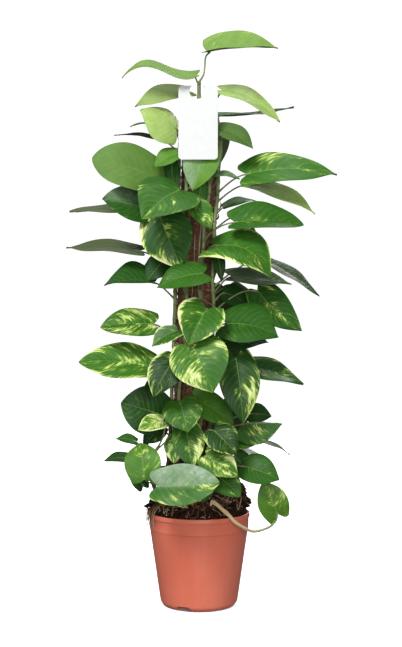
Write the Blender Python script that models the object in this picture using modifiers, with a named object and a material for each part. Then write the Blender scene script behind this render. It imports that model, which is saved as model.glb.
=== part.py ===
"""Potted pothos climbing a coir pole, in metres, +Z up.

The origin is the middle of the pot's foot on the surface that it stands on, and the front looks along -Y.
Sizes and places below are in millimetres, and mm() makes metres of them.
"""
import math
import random

import bmesh
import bpy
from mathutils import Vector, noise
from mathutils.bvhtree import BVHTree

MODEL_NAME = "potted_pothos"
WELD_DISTANCE = 0.00001
GAP = 0.3

# Pot: a 17 cm nursery pot
POT_HEIGHT = 155
POT_RIM_RADIUS = 85
POT_LIP_HEIGHT = 8
POT_LIP_ROUND = 2
POT_SKIRT_RADIUS = 83.2
POT_SKIRT_BOTTOM = 128
POT_WALL_TOP_RADIUS = 82
POT_FOOT_RADIUS = 65
POT_WALL = 2.0
POT_FLOOR_HEIGHT = 13
POT_CORNER = 11
POT_FOOT_WIDTH = 2.5
POT_SEGMENTS = 32
POT_TEST_BOTTOM = 60
POT_TEST_INNER = 60
NOTCH_COUNT = 3
NOTCH_WIDTH = 28
NOTCH_DEPTH = 30
NOTCH_HEIGHT = 9
NOTCH_TURN = 246
HOLE_COUNT = 6
HOLE_RADIUS = 5
HOLE_RING = 36
HOLE_TURN = 34
HOLE_SIDES = 12

# Soil: height of its mound at each radius, as a share of the pot's inner radius, and the places, heights and
# spreads of the root heaps that stand on it
SOIL_MOUND = [(0.0, 186), (0.45, 184), (0.66, 179), (0.8, 173), (0.92, 164), (1.0, 153)]
SOIL_TILT = 5
SOIL_HEAPS = [(71, -12, 27, 15), (-70, -8, 20, 14)]
SOIL_LUMP = 4
SOIL_LUMP_SCALE = 55
SOIL_CUT_TOP = 260
POLE_HOLE_CLEARANCE = 0.45
STEM_HOLE_CLEARANCE = 0.5

# Pole: its axis leans a little to the right as it rises
POLE_RADIUS = 30
POLE_BOTTOM = 24
POLE_TOP = 762
POLE_FOOT_X = -23.5
POLE_LEAN = 0.0335
CORE_RADIUS = 11
CORE_ABOVE = 2
CORE_SIDES = 16
COIR_SEGMENTS = 20
COIR_RINGS = 13
COIR_EDGE = 2
COIR_ROUGHNESS = 1.6
COIR_LUMP_SCALE = 45
COIR_SMOOTH_BELOW = 206

# Stems, stalks and blades
STEM_RADIUS = 3.4
STEM_CLEARANCE = 0.8
STEM_FOOT = 112
STEM_STRAIGHT_TOP = 200
STEM_SOIL_DISTANCE = 43
STEM_JOINS_POLE = 252
STEM_STEP = 42
LOW_STEM_STEP = 16
SWAY_START = 60
SWAY_WAVE = 62
LOW_STEM_END = 0.5
STALK_RADIUS = 1.5
STALK_STEPS = 4
STALK_TEST_RADIUS = 2.3
STALK_IN_BLADE = 4
STALK_LOWEST = STEM_STRAIGHT_TOP + 8
STALK_STARTS = (0.35, 0.15, 0.6, -0.1, 0.9, 1.3, -0.4, 1.8)
STALK_SPREADS = (0.0, 0.25, -0.25, 0.5, -0.5)
STALK_LEAVES = (0.35, 0.3)
STALK_ARRIVES = (0.35, -0.1, 0.25)
STALK_ARRIVAL = 0.3
STALK_ROUND_POLE = 1.2
BLADE_THICKNESS = 0.9
BLADE_TEST_MARGIN = 4
LOBE = 0.13
LOBE_CURL = 0.66
TAPER = 1.1
SLIM_TAPER = 1.25
SLIM_FILL = 0.2
FILL_GAIN = 0.27
CUP = 0.10
WAVE = 0.014
WAVE_TURNS = 9
WAVE_LEAF_SHIFT = 1.7
WAVE_EDGE_SHIFT = 1.3
SMALL_BLADE = 66
EYE = Vector((3, -1850, 470))

# Tag: a card with a round hook notch at the top, placed as seen from the front
TAG_WIDTH = 64
TAG_HEIGHT = 122
TAG_THICKNESS = 0.8
TAG_CORNER = 6
TAG_CORNER_STEPS = 3
TAG_NOTCH_RADIUS = 12.5
TAG_NOTCH_SIDES = 18
TAG_NOTCH_SEEN = (-3, 860)
TAG_NOTCH_DEPTH = 9.5
TAG_NOTCH_SIDE = 1.5
TAG_Y = -57
TAG_LEAN = math.radians(4)
HOOK_STEPS = [(3, 6.5, -18), (3, 3.7, -12.5), (3, 0, -4), (3, -5, 6), (3, -8, 13)]

# Climbing stems: the side of the pole that each climbs, in degrees round from +X, and how it ends
CLIMBERS = {
    "vine_left": dict(side=186, sway=9, turn=0.8, top=[(-32, -8, 775), (-27, -12, 800)]),
    "vine_front_left": dict(side=238, sway=8, turn=0.2,
                            top=[(-18, -32, 775), (-16, -31, 815), (-21, -27, 842)]),
    "vine_front_right": dict(side=290, sway=9, turn=2.4, top=[(10, -40, 780), (6, -48, 825)]),
    "vine_right": dict(side=334, sway=9, turn=1.6, top=[(36, -13, 775), (30, -17, 815), (25, -20, 838)]),
    "vine_back_right": dict(side=50, sway=10, turn=0.9, top=[(25, 28, 775), (20, 29, 800)]),
    "vine_back_left": dict(side=128, sway=10, turn=2.9, top=[(-19, 29, 775), (-15, 30, 795)]),
}

# Low stems, point by point from the soil
LOW_STEMS = {
    "shoot_left": [
        (-62, -30, 116), (-62, -30, 178), (-69, -38, 192), (-77, -48, 212), (-77, -56, 240), (-70, -58, 264),
    ],
    "runner_right": [
        (20, -54, 118), (20, -54, 175), (28, -61, 176), (38, -67, 168.5), (48, -71, 160.5), (58, -73, 149.5),
        (70, -68, 141), (82, -62, 134), (92, -60, 132), (105, -59, 135), (116, -60, 140), (123, -60, 147),
    ],
}

# Leaves by hand: name, stem, base, tip, width and where the upper side looks. Base and tip are (x, depth, z),
# x and z as seen from the eye on the plane through the pot's axis. arch and bend bow the midrib up and
# sideways, as shares of the length. skew moves the bow towards the tip, fold lifts both halves in degrees,
# lobe is how far they reach behind the stalk, and a lower taper makes a fuller tip.
LEAVES = [
    ("a1", "vine_front_right", (15, -52, 926), (133, -62, 932), 84, (0.0, -0.6, 0.8),
     dict(fold=30, arch=0.04, lobe=0.08)),
    ("a2", "vine_front_right", (-6, -50, 886), (-130, -45, 882), 60, (0.0, -0.5, 1.0),
     dict(arch=0.125, skew=1.4, lobe=0.06)),
    ("a3", "vine_front_left", (-26, -12, 862), (-108, -44, 834), 46, (-0.1, -0.8, 0.6),
     dict(fold=6, lobe=0.2)),
    ("a4", "vine_front_left", (-38, -42, 797), (-99, -56, 829), 74, (-0.25, -0.75, 0.6), dict(fold=-14)),
    ("a5", "vine_left", (-50, 22, 798), (-116, 16, 801), 45, (0.0, -0.25, 0.97), dict()),
    ("a6", "vine_left", (-60, 10, 776), (-143, 0, 786), 52, (0.0, -0.07, 1.0), dict(arch=0.05)),
    ("a7", "vine_right", (40, -26, 862), (136, -36, 808), 62, (0.4, -0.6, 0.7), dict(arch=0.1)),
    ("a8", "vine_right", (30, 14, 818), (160, 26, 833), 70, (0.0, -0.27, 1.0), dict(arch=-0.03, taper=1.6)),
    ("a9", "vine_right", (36, -38, 798), (91, -52, 764), 48, (0.35, -0.75, 0.5), dict()),
    ("b1", "vine_left", (-63, -38, 711), (-180, -62, 747), 94, (-0.1, -0.82, 0.52),
     dict(bend=0.03, taper=0.62)),
    ("b2", "vine_front_left", (-36, -44, 757), (-76, -54, 731), 40, (-0.2, -0.8, 0.6), dict()),
    ("b3", "vine_front_left", (11, -49, 765), (-11, -56, 692), 60, (0.0, -0.97, 0.2), dict()),
    ("b4", "vine_front_left", (3, -41, 704), (-2, -46, 662), 28, (0.35, -0.9, 0.0), dict(arch=0.0)),
    ("b5", "vine_front_right", (26, -44, 719), (69, -50, 712), 40, (0.0, -0.4, 1.0), dict()),
    ("b6", "vine_right", (82, -30, 721), (232, -14, 719), 90, (0.0, -0.68, 0.74),
     dict(arch=0.08, taper=1.25, lobe=0.1)),
    ("b7", "vine_right", (88, -6, 703), (195, -24, 654), 54, (0.3, -0.6, 0.72), dict(arch=0.08)),
    ("b8", "vine_back_right", (45, 30, 667), (99, 42, 675), 42, (0.0, -0.4, 0.97), dict()),
    ("b9", "vine_front_right", (62, -62, 640), (176, -54, 635), 84, (0.0, -0.62, 0.78),
     dict(fold=22, arch=0.05, taper=0.9)),
    ("b10", "vine_front_right", (28, -74, 600), (121, -88, 546), 92, (0.35, -0.75, 0.56),
     dict(arch=0.16, bend=0.12)),
    ("b11", "vine_front_left", (-46, -30, 742), (-40, -36, 692), 26, (-0.2, -0.95, 0.1), dict()),
    ("b12", "vine_right", (29, -32, 592), (38, -38, 540), 22, (0.2, -0.95, 0.1), dict()),
    ("c1", "vine_front_left", (-79, -44, 660), (-163, -84, 679), 74, (-0.25, -0.85, 0.45),
     dict(arch=0.04, taper=0.9)),
    ("c2", "vine_left", (-86, 10, 666), (-218, -4, 657), 70, (0.0, -0.36, 1.0), dict(arch=0.0, taper=0.95)),
    ("c3", "vine_front_left", (-32, -80, 694), (-96, -150, 645), 100, (0.1, -0.75, 0.62), dict()),
    ("c4", "vine_left", (-104, -26, 592), (-223, -18, 597), 70, (0.0, -0.4, 1.0), dict(arch=0.03)),
    ("c5", "vine_left", (-76, -30, 538), (-160, -62, 533), 84, (-0.15, -0.6, 0.8),
     dict(fold=28, taper=1.4)),
    ("c6", "vine_front_left", (-66, -66, 650), (-28, -78, 560), 88, (-0.2, -0.95, 0.2), dict()),
    ("c7", "vine_front_left", (7, -92, 554), (-71, -96, 530), 64, (0.0, -0.68, 0.73), dict()),
    ("c8", "vine_front_left", (-10, -90, 674), (20, -104, 628), 40, (0.25, -0.9, 0.3), dict()),
    ("c9", "vine_left", (-56, -24, 578), (-88, -34, 540), 44, (-0.2, -0.95, 0.2), dict()),
    ("d1", "vine_right", (56, -50, 549), (156, -40, 536), 60, (0.0, -0.52, 0.85), dict(arch=0.04)),
    ("d2", "vine_right", (119, 20, 573), (203, 10, 516), 54, (0.45, -0.42, 0.8), dict(arch=0.03)),
    ("d3", "vine_right", (98, -22, 526), (173, -46, 457), 68, (0.25, -0.9, 0.36), dict(bend=-0.1)),
    ("d4", "vine_right", (40, -8, 522), (84, -4, 500), 50, (0.0, -0.7, 0.7), dict(lobe=0.06)),
    ("d5", "vine_right", (46, -80, 469), (134, -92, 447), 98, (0.15, -0.7, 0.7),
     dict(arch=0.08, bend=0.05)),
    ("d6", "vine_front_right", (13, -92, 494), (-18, -124, 433), 86, (0.0, -0.92, 0.4), dict(fold=28)),
    ("d7", "vine_front_left", (-10, -112, 433), (24, -142, 353), 96, (-0.1, -0.88, 0.46), dict()),
    ("d8", "vine_front_right", (42, -58, 437), (117, -62, 438), 58, (0.0, -0.6, 0.8), dict()),
    ("e1", "vine_left", (-77, -50, 469), (-166, -60, 464), 72, (-0.1, -0.68, 0.74),
     dict(arch=0.05, taper=0.9)),
    ("e2", "vine_front_left", (-37, -72, 458), (-79, -88, 431), 42, (-0.2, -0.7, 0.7), dict()),
    ("e3", "vine_left", (-87, -62, 400), (-202, -56, 405), 84, (-0.1, -0.68, 0.74),
     dict(arch=0.05, taper=0.9)),
    ("e4", "vine_front_left", (-40, -100, 410), (-77, -126, 346), 62, (-0.15, -0.85, 0.5), dict()),
    ("e5", "vine_right", (77, -60, 398), (176, -54, 368), 64, (0.1, -0.55, 0.83), dict(arch=0.06)),
    ("e6", "vine_front_right", (62, -84, 413), (74, -104, 301), 68, (0.1, -0.97, 0.22), dict()),
    ("e7", "vine_front_right", (-8, -58, 344), (60, -66, 298), 54, (0.2, -0.85, 0.5), dict()),
    ("f1", "vine_left", (-60, -44, 316), (-131, -62, 337), 82, (-0.15, -0.95, 0.25),
     dict(arch=0.05, taper=0.8)),
    ("f2", "shoot_left", (-60, -66, 306), (-103, -88, 290), 38, (-0.1, -0.75, 0.65), dict()),
    ("f3", "vine_front_left", (-32, -88, 338), (-18, -108, 286), 66, (0.0, -0.92, 0.38), dict()),
    ("f4", "vine_front_left", (-22, -78, 296), (-12, -94, 226), 54, (0.1, -0.95, 0.3), dict()),
    ("f5", "shoot_left", (-38, -56, 278), (-42, -72, 234), 38, (-0.1, -0.95, 0.3), dict()),
    ("f6", "vine_right", (84, -16, 318), (122, -18, 314), 42, (0.0, -0.75, 0.65), dict()),
    ("f7", "vine_right", (72, -62, 300), (140, -70, 301), 68, (0.0, -0.6, 0.8), dict(fold=-33, arch=0.04)),
    ("f8", "vine_right", (84, -8, 274), (153, -4, 249), 30, (0.4, -0.15, 0.9), dict()),
    ("f9", "vine_front_right", (25, -96, 290), (64, -112, 249), 54, (0.1, -0.9, 0.42), dict()),
    ("f10", "vine_right", (60, -48, 274), (99, -60, 268), 44, (0.1, -0.75, 0.65), dict()),
    ("f11", "vine_left", (-62, -20, 296), (-90, -22, 268), 34, (0.0, -0.9, 0.4), dict()),
    ("g1", "shoot_left", (-91, -100, 208), (-98, -64, 270), 60, (0.0, -0.95, 0.3),
     dict(arch=0.2, lobe=0.07)),
    ("g2", "shoot_left", (-69, -126, 197), (35, -138, 203), 72, (0.0, -0.85, 0.52),
     dict(arch=-0.04, taper=0.85)),
    ("g3", "shoot_left", (-64, -86, 186), (-18, -92, 160), 28, (0.0, -0.7, 0.7), dict()),
    ("g4", "vine_front_right", (18, -80, 210), (7, -90, 168), 28, (0.0, -0.95, 0.3), dict()),
    ("g5", "vine_front_right", (12, -94, 247), (66, -112, 212), 54, (0.1, -0.88, 0.47), dict()),
    ("g6", "vine_right", (32, -84, 213), (71, -100, 178), 46, (0.1, -0.88, 0.42), dict()),
    ("g7", "vine_right", (76, -66, 230), (136, -82, 206), 58, (0.1, -0.82, 0.55), dict()),
    ("g8", "runner_right", (132, -60, 150), (107, -62, 204), 52, (0.1, -0.95, 0.1),
     dict(lobe=0.2, taper=0.9)),
    ("g9", "shoot_left", (-114, -22, 243), (-160, -26, 239), 34, (-0.1, -0.45, 0.9), dict()),
    ("g10", "shoot_left", (-106, -62, 272), (-140, -66, 276), 26, (0.0, -0.6, 0.9), dict()),
    ("g11", "shoot_left", (-94, -50, 196), (-116, -54, 240), 28, (0.0, -1.0, 0.0), dict()),
    ("g12", "vine_right", (60, -36, 248), (96, -42, 202), 40, (0.0, -0.92, 0.3), dict()),
]

# Leaves at the back, by a seeded rule
BACK_SEED = 5
BACK_STEMS = ["vine_back_left", "vine_back_right"]
BACK_LOWEST = 215
BACK_HIGHEST = 800
BACK_STEP = 52
BACK_TRIES = 90
BACK_HALF_WIDTH = 135
BACK_REACH = 150
BACK_EXPOSED = 0.06
BACK_TURN = 80
BACK_LENGTH = (78, 112)
BACK_WIDTH = (0.66, 0.76)
BACK_DROP = (10, 80)
BACK_DISTANCE = (52, 96)
BACK_ASIDE = 0.35

# Mesh detail of a blade: places along it from stalk to tip, and across it from edge to edge
ALONG = [0.0, 0.15, 0.38, 0.64, 0.86, 1.0]
ACROSS = [-1.0, -0.5, 0.0, 0.5, 1.0]
ALONG_PLAIN = [0.0, 0.2, 0.5, 0.8, 1.0]
ACROSS_PLAIN = [-1.0, 0.0, 1.0]


def mm(*values):
    """Millimetres as metres: one number, or a point of three."""
    if len(values) == 1:
        return values[0] * 0.001
    return Vector(values) * 0.001


def seen(x, depth, z):
    """The point at a depth, in mm, that the eye sees at x and z on the plane through the pot's axis."""
    share = (depth - EYE.y) / -EYE.y
    return Vector((EYE.x + (x - EYE.x) * share, depth, EYE.z + (z - EYE.z) * share))


def pole_axis(z):
    """Where the leaning pole's axis is at a height, in mm."""
    return Vector((POLE_FOOT_X + POLE_LEAN * z, 0, z))


class Leaf:
    """A heart-shaped blade: its own frame of directions and the formula of its upper surface, in mm."""

    def __init__(self, name, stem, base, tip, width, face, fold=12, arch=0.09, bend=0.0, skew=0.0,
                 lobe=LOBE, taper=TAPER, number=0, plain=False):
        self.name = name
        self.stem = stem
        self.base = base
        self.width = width
        self.length = (tip - base).length
        self.axis = (tip - base).normalized()
        look = Vector(face)
        self.up = (look - self.axis * look.dot(self.axis)).normalized()
        self.side = self.up.cross(self.axis)
        self.fold = math.radians(fold)
        self.arch = arch
        self.bend = bend
        self.skew = skew
        self.lobe = lobe
        self.phase = WAVE_LEAF_SHIFT * number
        self.taper = taper
        self.fill = SLIM_FILL + FILL_GAIN * (SLIM_TAPER - taper)
        middle = (1 - taper * self.fill) / (1 + taper)
        self.widest = (1 - middle) ** taper * (middle + self.fill)
        self.plain = plain or width < SMALL_BLADE

    def outline(self, u):
        """Half width at u from stalk (0) to tip (1), as a share of the widest."""
        return (1 - u) ** self.taper * (u + self.fill) / self.widest

    def point(self, u, v):
        """Point of the blade at u along and v across, from -1 at one edge to 1 at the other."""
        half = self.width / 2 * self.outline(u)
        back = self.lobe * (1 - u) ** 3 * math.sin(LOBE_CURL * math.pi * abs(v))
        t = u - back
        bow = 4 * t * (1 - t) * (1 + self.skew * (2 * t - 1))
        rise = self.arch * bow * self.length
        rise += half * abs(v) * math.sin(self.fold)
        rise -= CUP * half * v * v
        shift = self.phase + (WAVE_EDGE_SHIFT if v > 0 else 0)
        rise += WAVE * self.length * v * v * math.sin(WAVE_TURNS * u + shift)
        sideways = half * v * math.cos(self.fold) + self.bend * bow * self.length
        return self.base + self.axis * (t * self.length) + self.side * sideways + self.up * rise

    def surface(self):
        """Points and triangles of the blade as an open surface."""
        along = ALONG_PLAIN if self.plain else ALONG
        across = ACROSS_PLAIN if self.plain else ACROSS
        points = [self.point(u, v) for u in along[:-1] for v in across]
        points.append(self.point(1.0, 0.0))
        last = len(points) - 1
        columns = len(across)
        triangles = []
        for row in range(len(along) - 2):
            for column in range(columns - 1):
                a = row * columns + column
                b = a + 1
                c = b + columns
                d = a + columns
                if column < columns // 2:
                    triangles += [(a, b, c), (a, c, d)]
                else:
                    triangles += [(a, b, d), (b, c, d)]
        first = (len(along) - 2) * columns
        for column in range(columns - 1):
            triangles.append((first + column, first + column + 1, last))
        return points, triangles

    def solid(self, thickness):
        """Points and triangles of the blade with both faces and its rim, for testing what it crosses."""
        points, triangles = self.surface()
        half = self.up * (thickness / 2)
        count = len(points)
        both = [p + half for p in points] + [p - half for p in points]
        under = [(a + count, c + count, b + count) for a, b, c in triangles]
        return both, triangles + under


def leaf_by_hand(number, row):
    """A Leaf from one row of the list."""
    name, stem, base, tip, width, face, more = row
    return Leaf(name, stem, seen(*base), seen(*tip), width, face, number=number, **more)


def smooth_line(points, step):
    """Points every step or so along a Catmull-Rom curve through the given ones."""
    ends = [2 * points[0] - points[1]] + points + [2 * points[-1] - points[-2]]
    line = []
    for i in range(1, len(ends) - 2):
        p0, p1, p2, p3 = ends[i - 1:i + 3]
        pieces = max(1, round((p2 - p1).length / step))
        for k in range(pieces):
            t = k / pieces
            line.append(0.5 * (2 * p1 + (p2 - p0) * t + (2 * p0 - 5 * p1 + 4 * p2 - p3) * t ** 2
                               + (3 * p1 - p0 - 3 * p2 + p3) * t ** 3))
    line.append(points[-1])
    return line


def climbing_stem(side, sway, turn, top):
    """Route of a stem: straight out of the soil, up against the pole, and off its top."""
    route = []
    out = Vector((math.cos(math.radians(side)), math.sin(math.radians(side)), 0))
    foot = pole_axis(STEM_STRAIGHT_TOP) + out * STEM_SOIL_DISTANCE
    for z in (STEM_FOOT, STEM_STRAIGHT_TOP - STEM_STEP, STEM_STRAIGHT_TOP):
        route.append(Vector((foot.x, foot.y, z)))
    close = POLE_RADIUS + STEM_RADIUS + STEM_CLEARANCE
    z = STEM_JOINS_POLE
    while z < POLE_TOP - STEM_STEP:
        grown = min(1.0, (z - STEM_JOINS_POLE) / SWAY_START)
        angle = math.radians(side + sway * grown * math.sin(z / SWAY_WAVE + turn))
        route.append(pole_axis(z) + Vector((math.cos(angle), math.sin(angle), 0)) * close)
        z += STEM_STEP
    return route + smooth_line([Vector(p) for p in top], STEM_STEP)


def pot_inner_radius(z):
    """Radius of the pot's inner wall at a height."""
    if z >= POT_SKIRT_BOTTOM + POT_WALL:
        return POT_SKIRT_RADIUS - POT_WALL
    share = (z - POT_CORNER) / (POT_SKIRT_BOTTOM - POT_CORNER)
    return POT_FOOT_RADIUS + (POT_WALL_TOP_RADIUS - POT_FOOT_RADIUS) * share - POT_WALL


def heap_height(x, y):
    """How much the root heaps raise the soil at a place, in mm."""
    return sum(height * math.exp(-((x - at_x) ** 2 + (y - at_y) ** 2) / (2 * spread ** 2))
               for at_x, at_y, height, spread in SOIL_HEAPS)


def notch_centre():
    """Centre of the tag's hook notch."""
    return seen(TAG_NOTCH_SEEN[0], TAG_Y, TAG_NOTCH_SEEN[1])


def stem_routes():
    """Route of every stem, in mm. The front right one passes through the tag's notch, near its lower edge."""
    routes = {name: climbing_stem(**climber) for name, climber in CLIMBERS.items()}
    routes["vine_front_right"] += [notch_centre() + Vector(step) for step in HOOK_STEPS]
    for name, points in LOW_STEMS.items():
        foot = Vector(points[0])
        routes[name] = [foot] + smooth_line([Vector(p) for p in points[1:]], LOW_STEM_STEP)
    return routes


def on_stem(route, z):
    """Point of a stem at a height, or its end if it stops lower."""
    for low, high in zip(route, route[1:]):
        if low.z <= z <= high.z:
            return low.lerp(high, (z - low.z) / (high.z - low.z))
    return route[-1]


def stalk_route(start, leaf, spread):
    """A stalk as a curve that leaves the stem outwards and upwards and meets the blade from below."""
    end = leaf.point(STALK_IN_BLADE / leaf.length, 0)
    reach = (end - start).length
    outward = Vector((end.x - start.x, end.y - start.y, 0))
    away = Vector((start.x - pole_axis(start.z).x, start.y, 0))
    if away.length < 2 * POLE_RADIUS and start.z < POLE_TOP:
        outward = outward.normalized() + away.normalized() * STALK_ROUND_POLE
    if outward.length < 0.01:
        outward = away
    leave = outward.normalized() * STALK_LEAVES[0] + Vector((0, 0, STALK_LEAVES[1])) + leaf.side * spread
    along, above, straight = STALK_ARRIVES
    arrive = leaf.axis * along + leaf.up * above + (end - start).normalized() * straight
    second = start + leave * reach
    third = end - arrive.normalized() * STALK_ARRIVAL * reach
    route = []
    for i in range(STALK_STEPS + 1):
        t = i / STALK_STEPS
        s = 1 - t
        route.append(start * s ** 3 + second * (3 * s * s * t) + third * (3 * s * t * t) + end * t ** 3)
    return route


def tube_solid(route, radius, sides=5):
    """Points and triangles of a plain tube round a route, for testing what it crosses."""
    points = []
    for i, centre in enumerate(route):
        ahead = (route[min(i + 1, len(route) - 1)] - route[max(i - 1, 0)]).normalized()
        first = ahead.orthogonal().normalized()
        second = ahead.cross(first)
        for k in range(sides):
            angle = 2 * math.pi * k / sides
            points.append(centre + (first * math.cos(angle) + second * math.sin(angle)) * radius)
    triangles = []
    for i in range(len(route) - 1):
        for k in range(sides):
            a = i * sides + k
            b = i * sides + (k + 1) % sides
            triangles += [(a, b, b + sides), (a, b + sides, a + sides)]
    return points, triangles


class Room:
    """What already stands somewhere, so that the next stalk or blade is put clear of it."""

    def __init__(self):
        self.things = []

    def add(self, owner, name, shape):
        self.things.append((owner, name, BVHTree.FromPolygons(*shape)))

    def crossed(self, owner, shape, own_too=False):
        """Names of the things of other owners, or of all owners, that a shape crosses."""
        tree = BVHTree.FromPolygons(*shape)
        return [name for other, name, thing in self.things
                if (own_too or other != owner) and tree.overlap(thing)]


def tag_shape():
    """The tag's flat outline as a coarse panel, for testing what crosses it."""
    centre = notch_centre()
    top = centre.z + TAG_NOTCH_DEPTH
    left = centre.x + TAG_NOTCH_SIDE - TAG_WIDTH / 2
    drop = TAG_HEIGHT * math.cos(TAG_LEAN)
    forward = TAG_HEIGHT * math.sin(TAG_LEAN)
    low = centre.z - TAG_NOTCH_RADIUS
    start = TAG_Y - (top - low) * math.tan(TAG_LEAN)
    right = left + TAG_WIDTH
    front = TAG_Y - forward
    bottom = top - drop
    points = [Vector((left, start, low)), Vector((right, start, low)), Vector((right, front, bottom)),
              Vector((left, front, bottom))]
    return points, [(0, 1, 2), (0, 2, 3)]


def cone_solid(rings, sides=24):
    """Points and triangles of a turned wall with a flat top, from (radius, height, centre x) rings."""
    points = []
    for radius, z, x in rings:
        for k in range(sides):
            angle = 2 * math.pi * k / sides
            points.append(Vector((x + radius * math.cos(angle), radius * math.sin(angle), z)))
    triangles = []
    for i in range(len(rings) - 1):
        for k in range(sides):
            a = i * sides + k
            b = i * sides + (k + 1) % sides
            triangles += [(a, b, b + sides), (a, b + sides, a + sides)]
    return points, triangles


def filled_room(routes):
    """The pot, the soil, the pole, the tag and the stems as things to keep clear of."""
    room = Room()
    top = POT_HEIGHT + 1
    pot = [(POT_RIM_RADIUS, POT_TEST_BOTTOM, 0), (POT_RIM_RADIUS + 1, top, 0), (POT_TEST_INNER, top, 0)]
    room.add("pot", "pot", cone_solid(pot))
    inner = pot_inner_radius(POT_HEIGHT) - GAP
    mound = [(max(1, share * inner), z + SOIL_LUMP + 1, 0) for share, z in SOIL_MOUND]
    points, triangles = cone_solid(mound)
    for point in points:
        point.z += heap_height(point.x, point.y)
    room.add("soil", "soil", (points, triangles))
    pole = [(POLE_RADIUS + 0.5, z, pole_axis(z).x) for z in range(STEM_STRAIGHT_TOP, POLE_TOP + 1, 40)]
    pole.append((1, POLE_TOP + 0.5, pole_axis(POLE_TOP).x))
    room.add("pole", "pole", cone_solid(pole))
    room.add("tag", "tag", tag_shape())
    for name, route in routes.items():
        room.add(name, name + " stem", tube_solid(route, STEM_RADIUS + 0.7))
    return room


def clear_stalk(room, leaf, route):
    """The first stalk route that is clear of what belongs to other stems, and what the best one crosses."""
    reach = (Vector((leaf.base.x, leaf.base.y, 0)) - Vector((pole_axis(leaf.base.z).x, 0, 0))).length
    best = None
    for share in STALK_STARTS:
        for spread in STALK_SPREADS:
            start = on_stem(route, max(STALK_LOWEST, leaf.base.z - share * reach))
            stalk = stalk_route(start, leaf, spread)
            crossed = room.crossed(leaf.stem, tube_solid(stalk[1:], STALK_TEST_RADIUS))
            if not crossed:
                return stalk, crossed
            if best is None or len(crossed) < len(best[1]):
                best = (stalk, crossed)
    return best


def back_leaf(rng, number, stem, height):
    """One leaf behind the pole: drawn at random, pointing away from it, its upper side up and out."""
    side = CLIMBERS[stem]["side"]
    heading = math.radians(side + (1 if number % 4 < 2 else -1) * rng.uniform(0, BACK_TURN))
    out = Vector((math.cos(heading), math.sin(heading), 0))
    length = rng.uniform(*BACK_LENGTH)
    drop = math.radians(rng.uniform(*BACK_DROP))
    base = pole_axis(height) + out * rng.uniform(*BACK_DISTANCE)
    aside = Vector((-out.y, out.x, 0)) * rng.uniform(-BACK_ASIDE, BACK_ASIDE)
    tip = base + (out * math.cos(drop) + aside - Vector((0, 0, math.sin(drop)))) * length
    face = out * 0.5 + Vector((0, 0, 0.85)) + aside * 1.5
    width = length * rng.uniform(*BACK_WIDTH)
    return Leaf(f"back_{number}", stem, base, tip, width, face, number=number, plain=True)


def exposed(leaf, screen):
    """Share of the blade's points that the eye sees past what stands in front of it."""
    points = [leaf.point(u, v) for u in ALONG for v in (-1, 0, 1)]
    open_points = 0
    for point in points:
        sight = point - EYE
        hit = screen.ray_cast(EYE, sight.normalized(), sight.length - 1)
        open_points += hit[0] is None
    return open_points / len(points)


def screen_of(shapes):
    """One tree of several shapes, for finding what hides behind them."""
    points = []
    triangles = []
    for shape_points, shape_triangles in shapes:
        first = len(points)
        points += shape_points
        triangles += [tuple(first + k for k in triangle) for triangle in shape_triangles]
    return BVHTree.FromPolygons(points, triangles)


def grow():
    """Every leaf with its stalk: those by hand first, then the seeded ones at the back, all kept clear."""
    routes = stem_routes()
    room = filled_room(routes)
    leaves = [leaf_by_hand(number, row) for number, row in enumerate(LEAVES)]
    for leaf in leaves:
        room.add(leaf.stem, leaf.name, leaf.solid(BLADE_THICKNESS))
    stalks = {}
    for leaf in leaves:
        stalks[leaf.name], crossed = clear_stalk(room, leaf, routes[leaf.stem])
        room.add(leaf.stem, leaf.name + " stalk", tube_solid(stalks[leaf.name], STALK_RADIUS))
    pole = [(POLE_RADIUS + 5, z, pole_axis(z).x) for z in (60, POLE_TOP)]
    screen = screen_of([leaf.surface() for leaf in leaves] + [cone_solid(pole), tag_shape()])
    rng = random.Random(BACK_SEED)
    number = 0
    for height in range(BACK_LOWEST, BACK_HIGHEST, BACK_STEP):
        for stem in BACK_STEMS:
            number += 1
            for _ in range(BACK_TRIES):
                leaf = back_leaf(rng, number, stem, height + rng.uniform(0, BACK_STEP))
                points = leaf.surface()[0]
                wide = max(abs(p.x) for p in points)
                deep = max(p.y for p in points)
                if wide > BACK_HALF_WIDTH or deep > BACK_REACH or exposed(leaf, screen) > BACK_EXPOSED:
                    continue
                if room.crossed(stem, leaf.solid(BLADE_TEST_MARGIN), own_too=True):
                    continue
                stalk, crossed = clear_stalk(room, leaf, routes[stem])
                if crossed:
                    continue
                leaves.append(leaf)
                stalks[leaf.name] = stalk
                room.add(stem, leaf.name, leaf.solid(BLADE_THICKNESS))
                room.add(stem, leaf.name + " stalk", tube_solid(stalk, STALK_RADIUS))
                break
    return routes, leaves, stalks, room


def remove_everything():
    for old in list(bpy.data.objects):
        bpy.data.objects.remove(old)


def new_collection(name):
    collection = bpy.data.collections.new(name)
    bpy.context.scene.collection.children.link(collection)
    return collection


def new_object(name, mesh, collection):
    obj = bpy.data.objects.new(name, mesh)
    collection.objects.link(obj)
    return obj


def mesh_from(name, points, faces):
    """A mesh from points in mm."""
    mesh = bpy.data.meshes.new(name)
    mesh.from_pydata([p * 0.001 for p in points], [], faces)
    return mesh


def evaluated_mesh(obj):
    """The object's mesh with its modifiers applied."""
    graph = bpy.context.evaluated_depsgraph_get()
    return bpy.data.meshes.new_from_object(obj.evaluated_get(graph))


def apply_modifiers(obj):
    mesh = evaluated_mesh(obj)
    obj.modifiers.clear()
    obj.data = mesh


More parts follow.
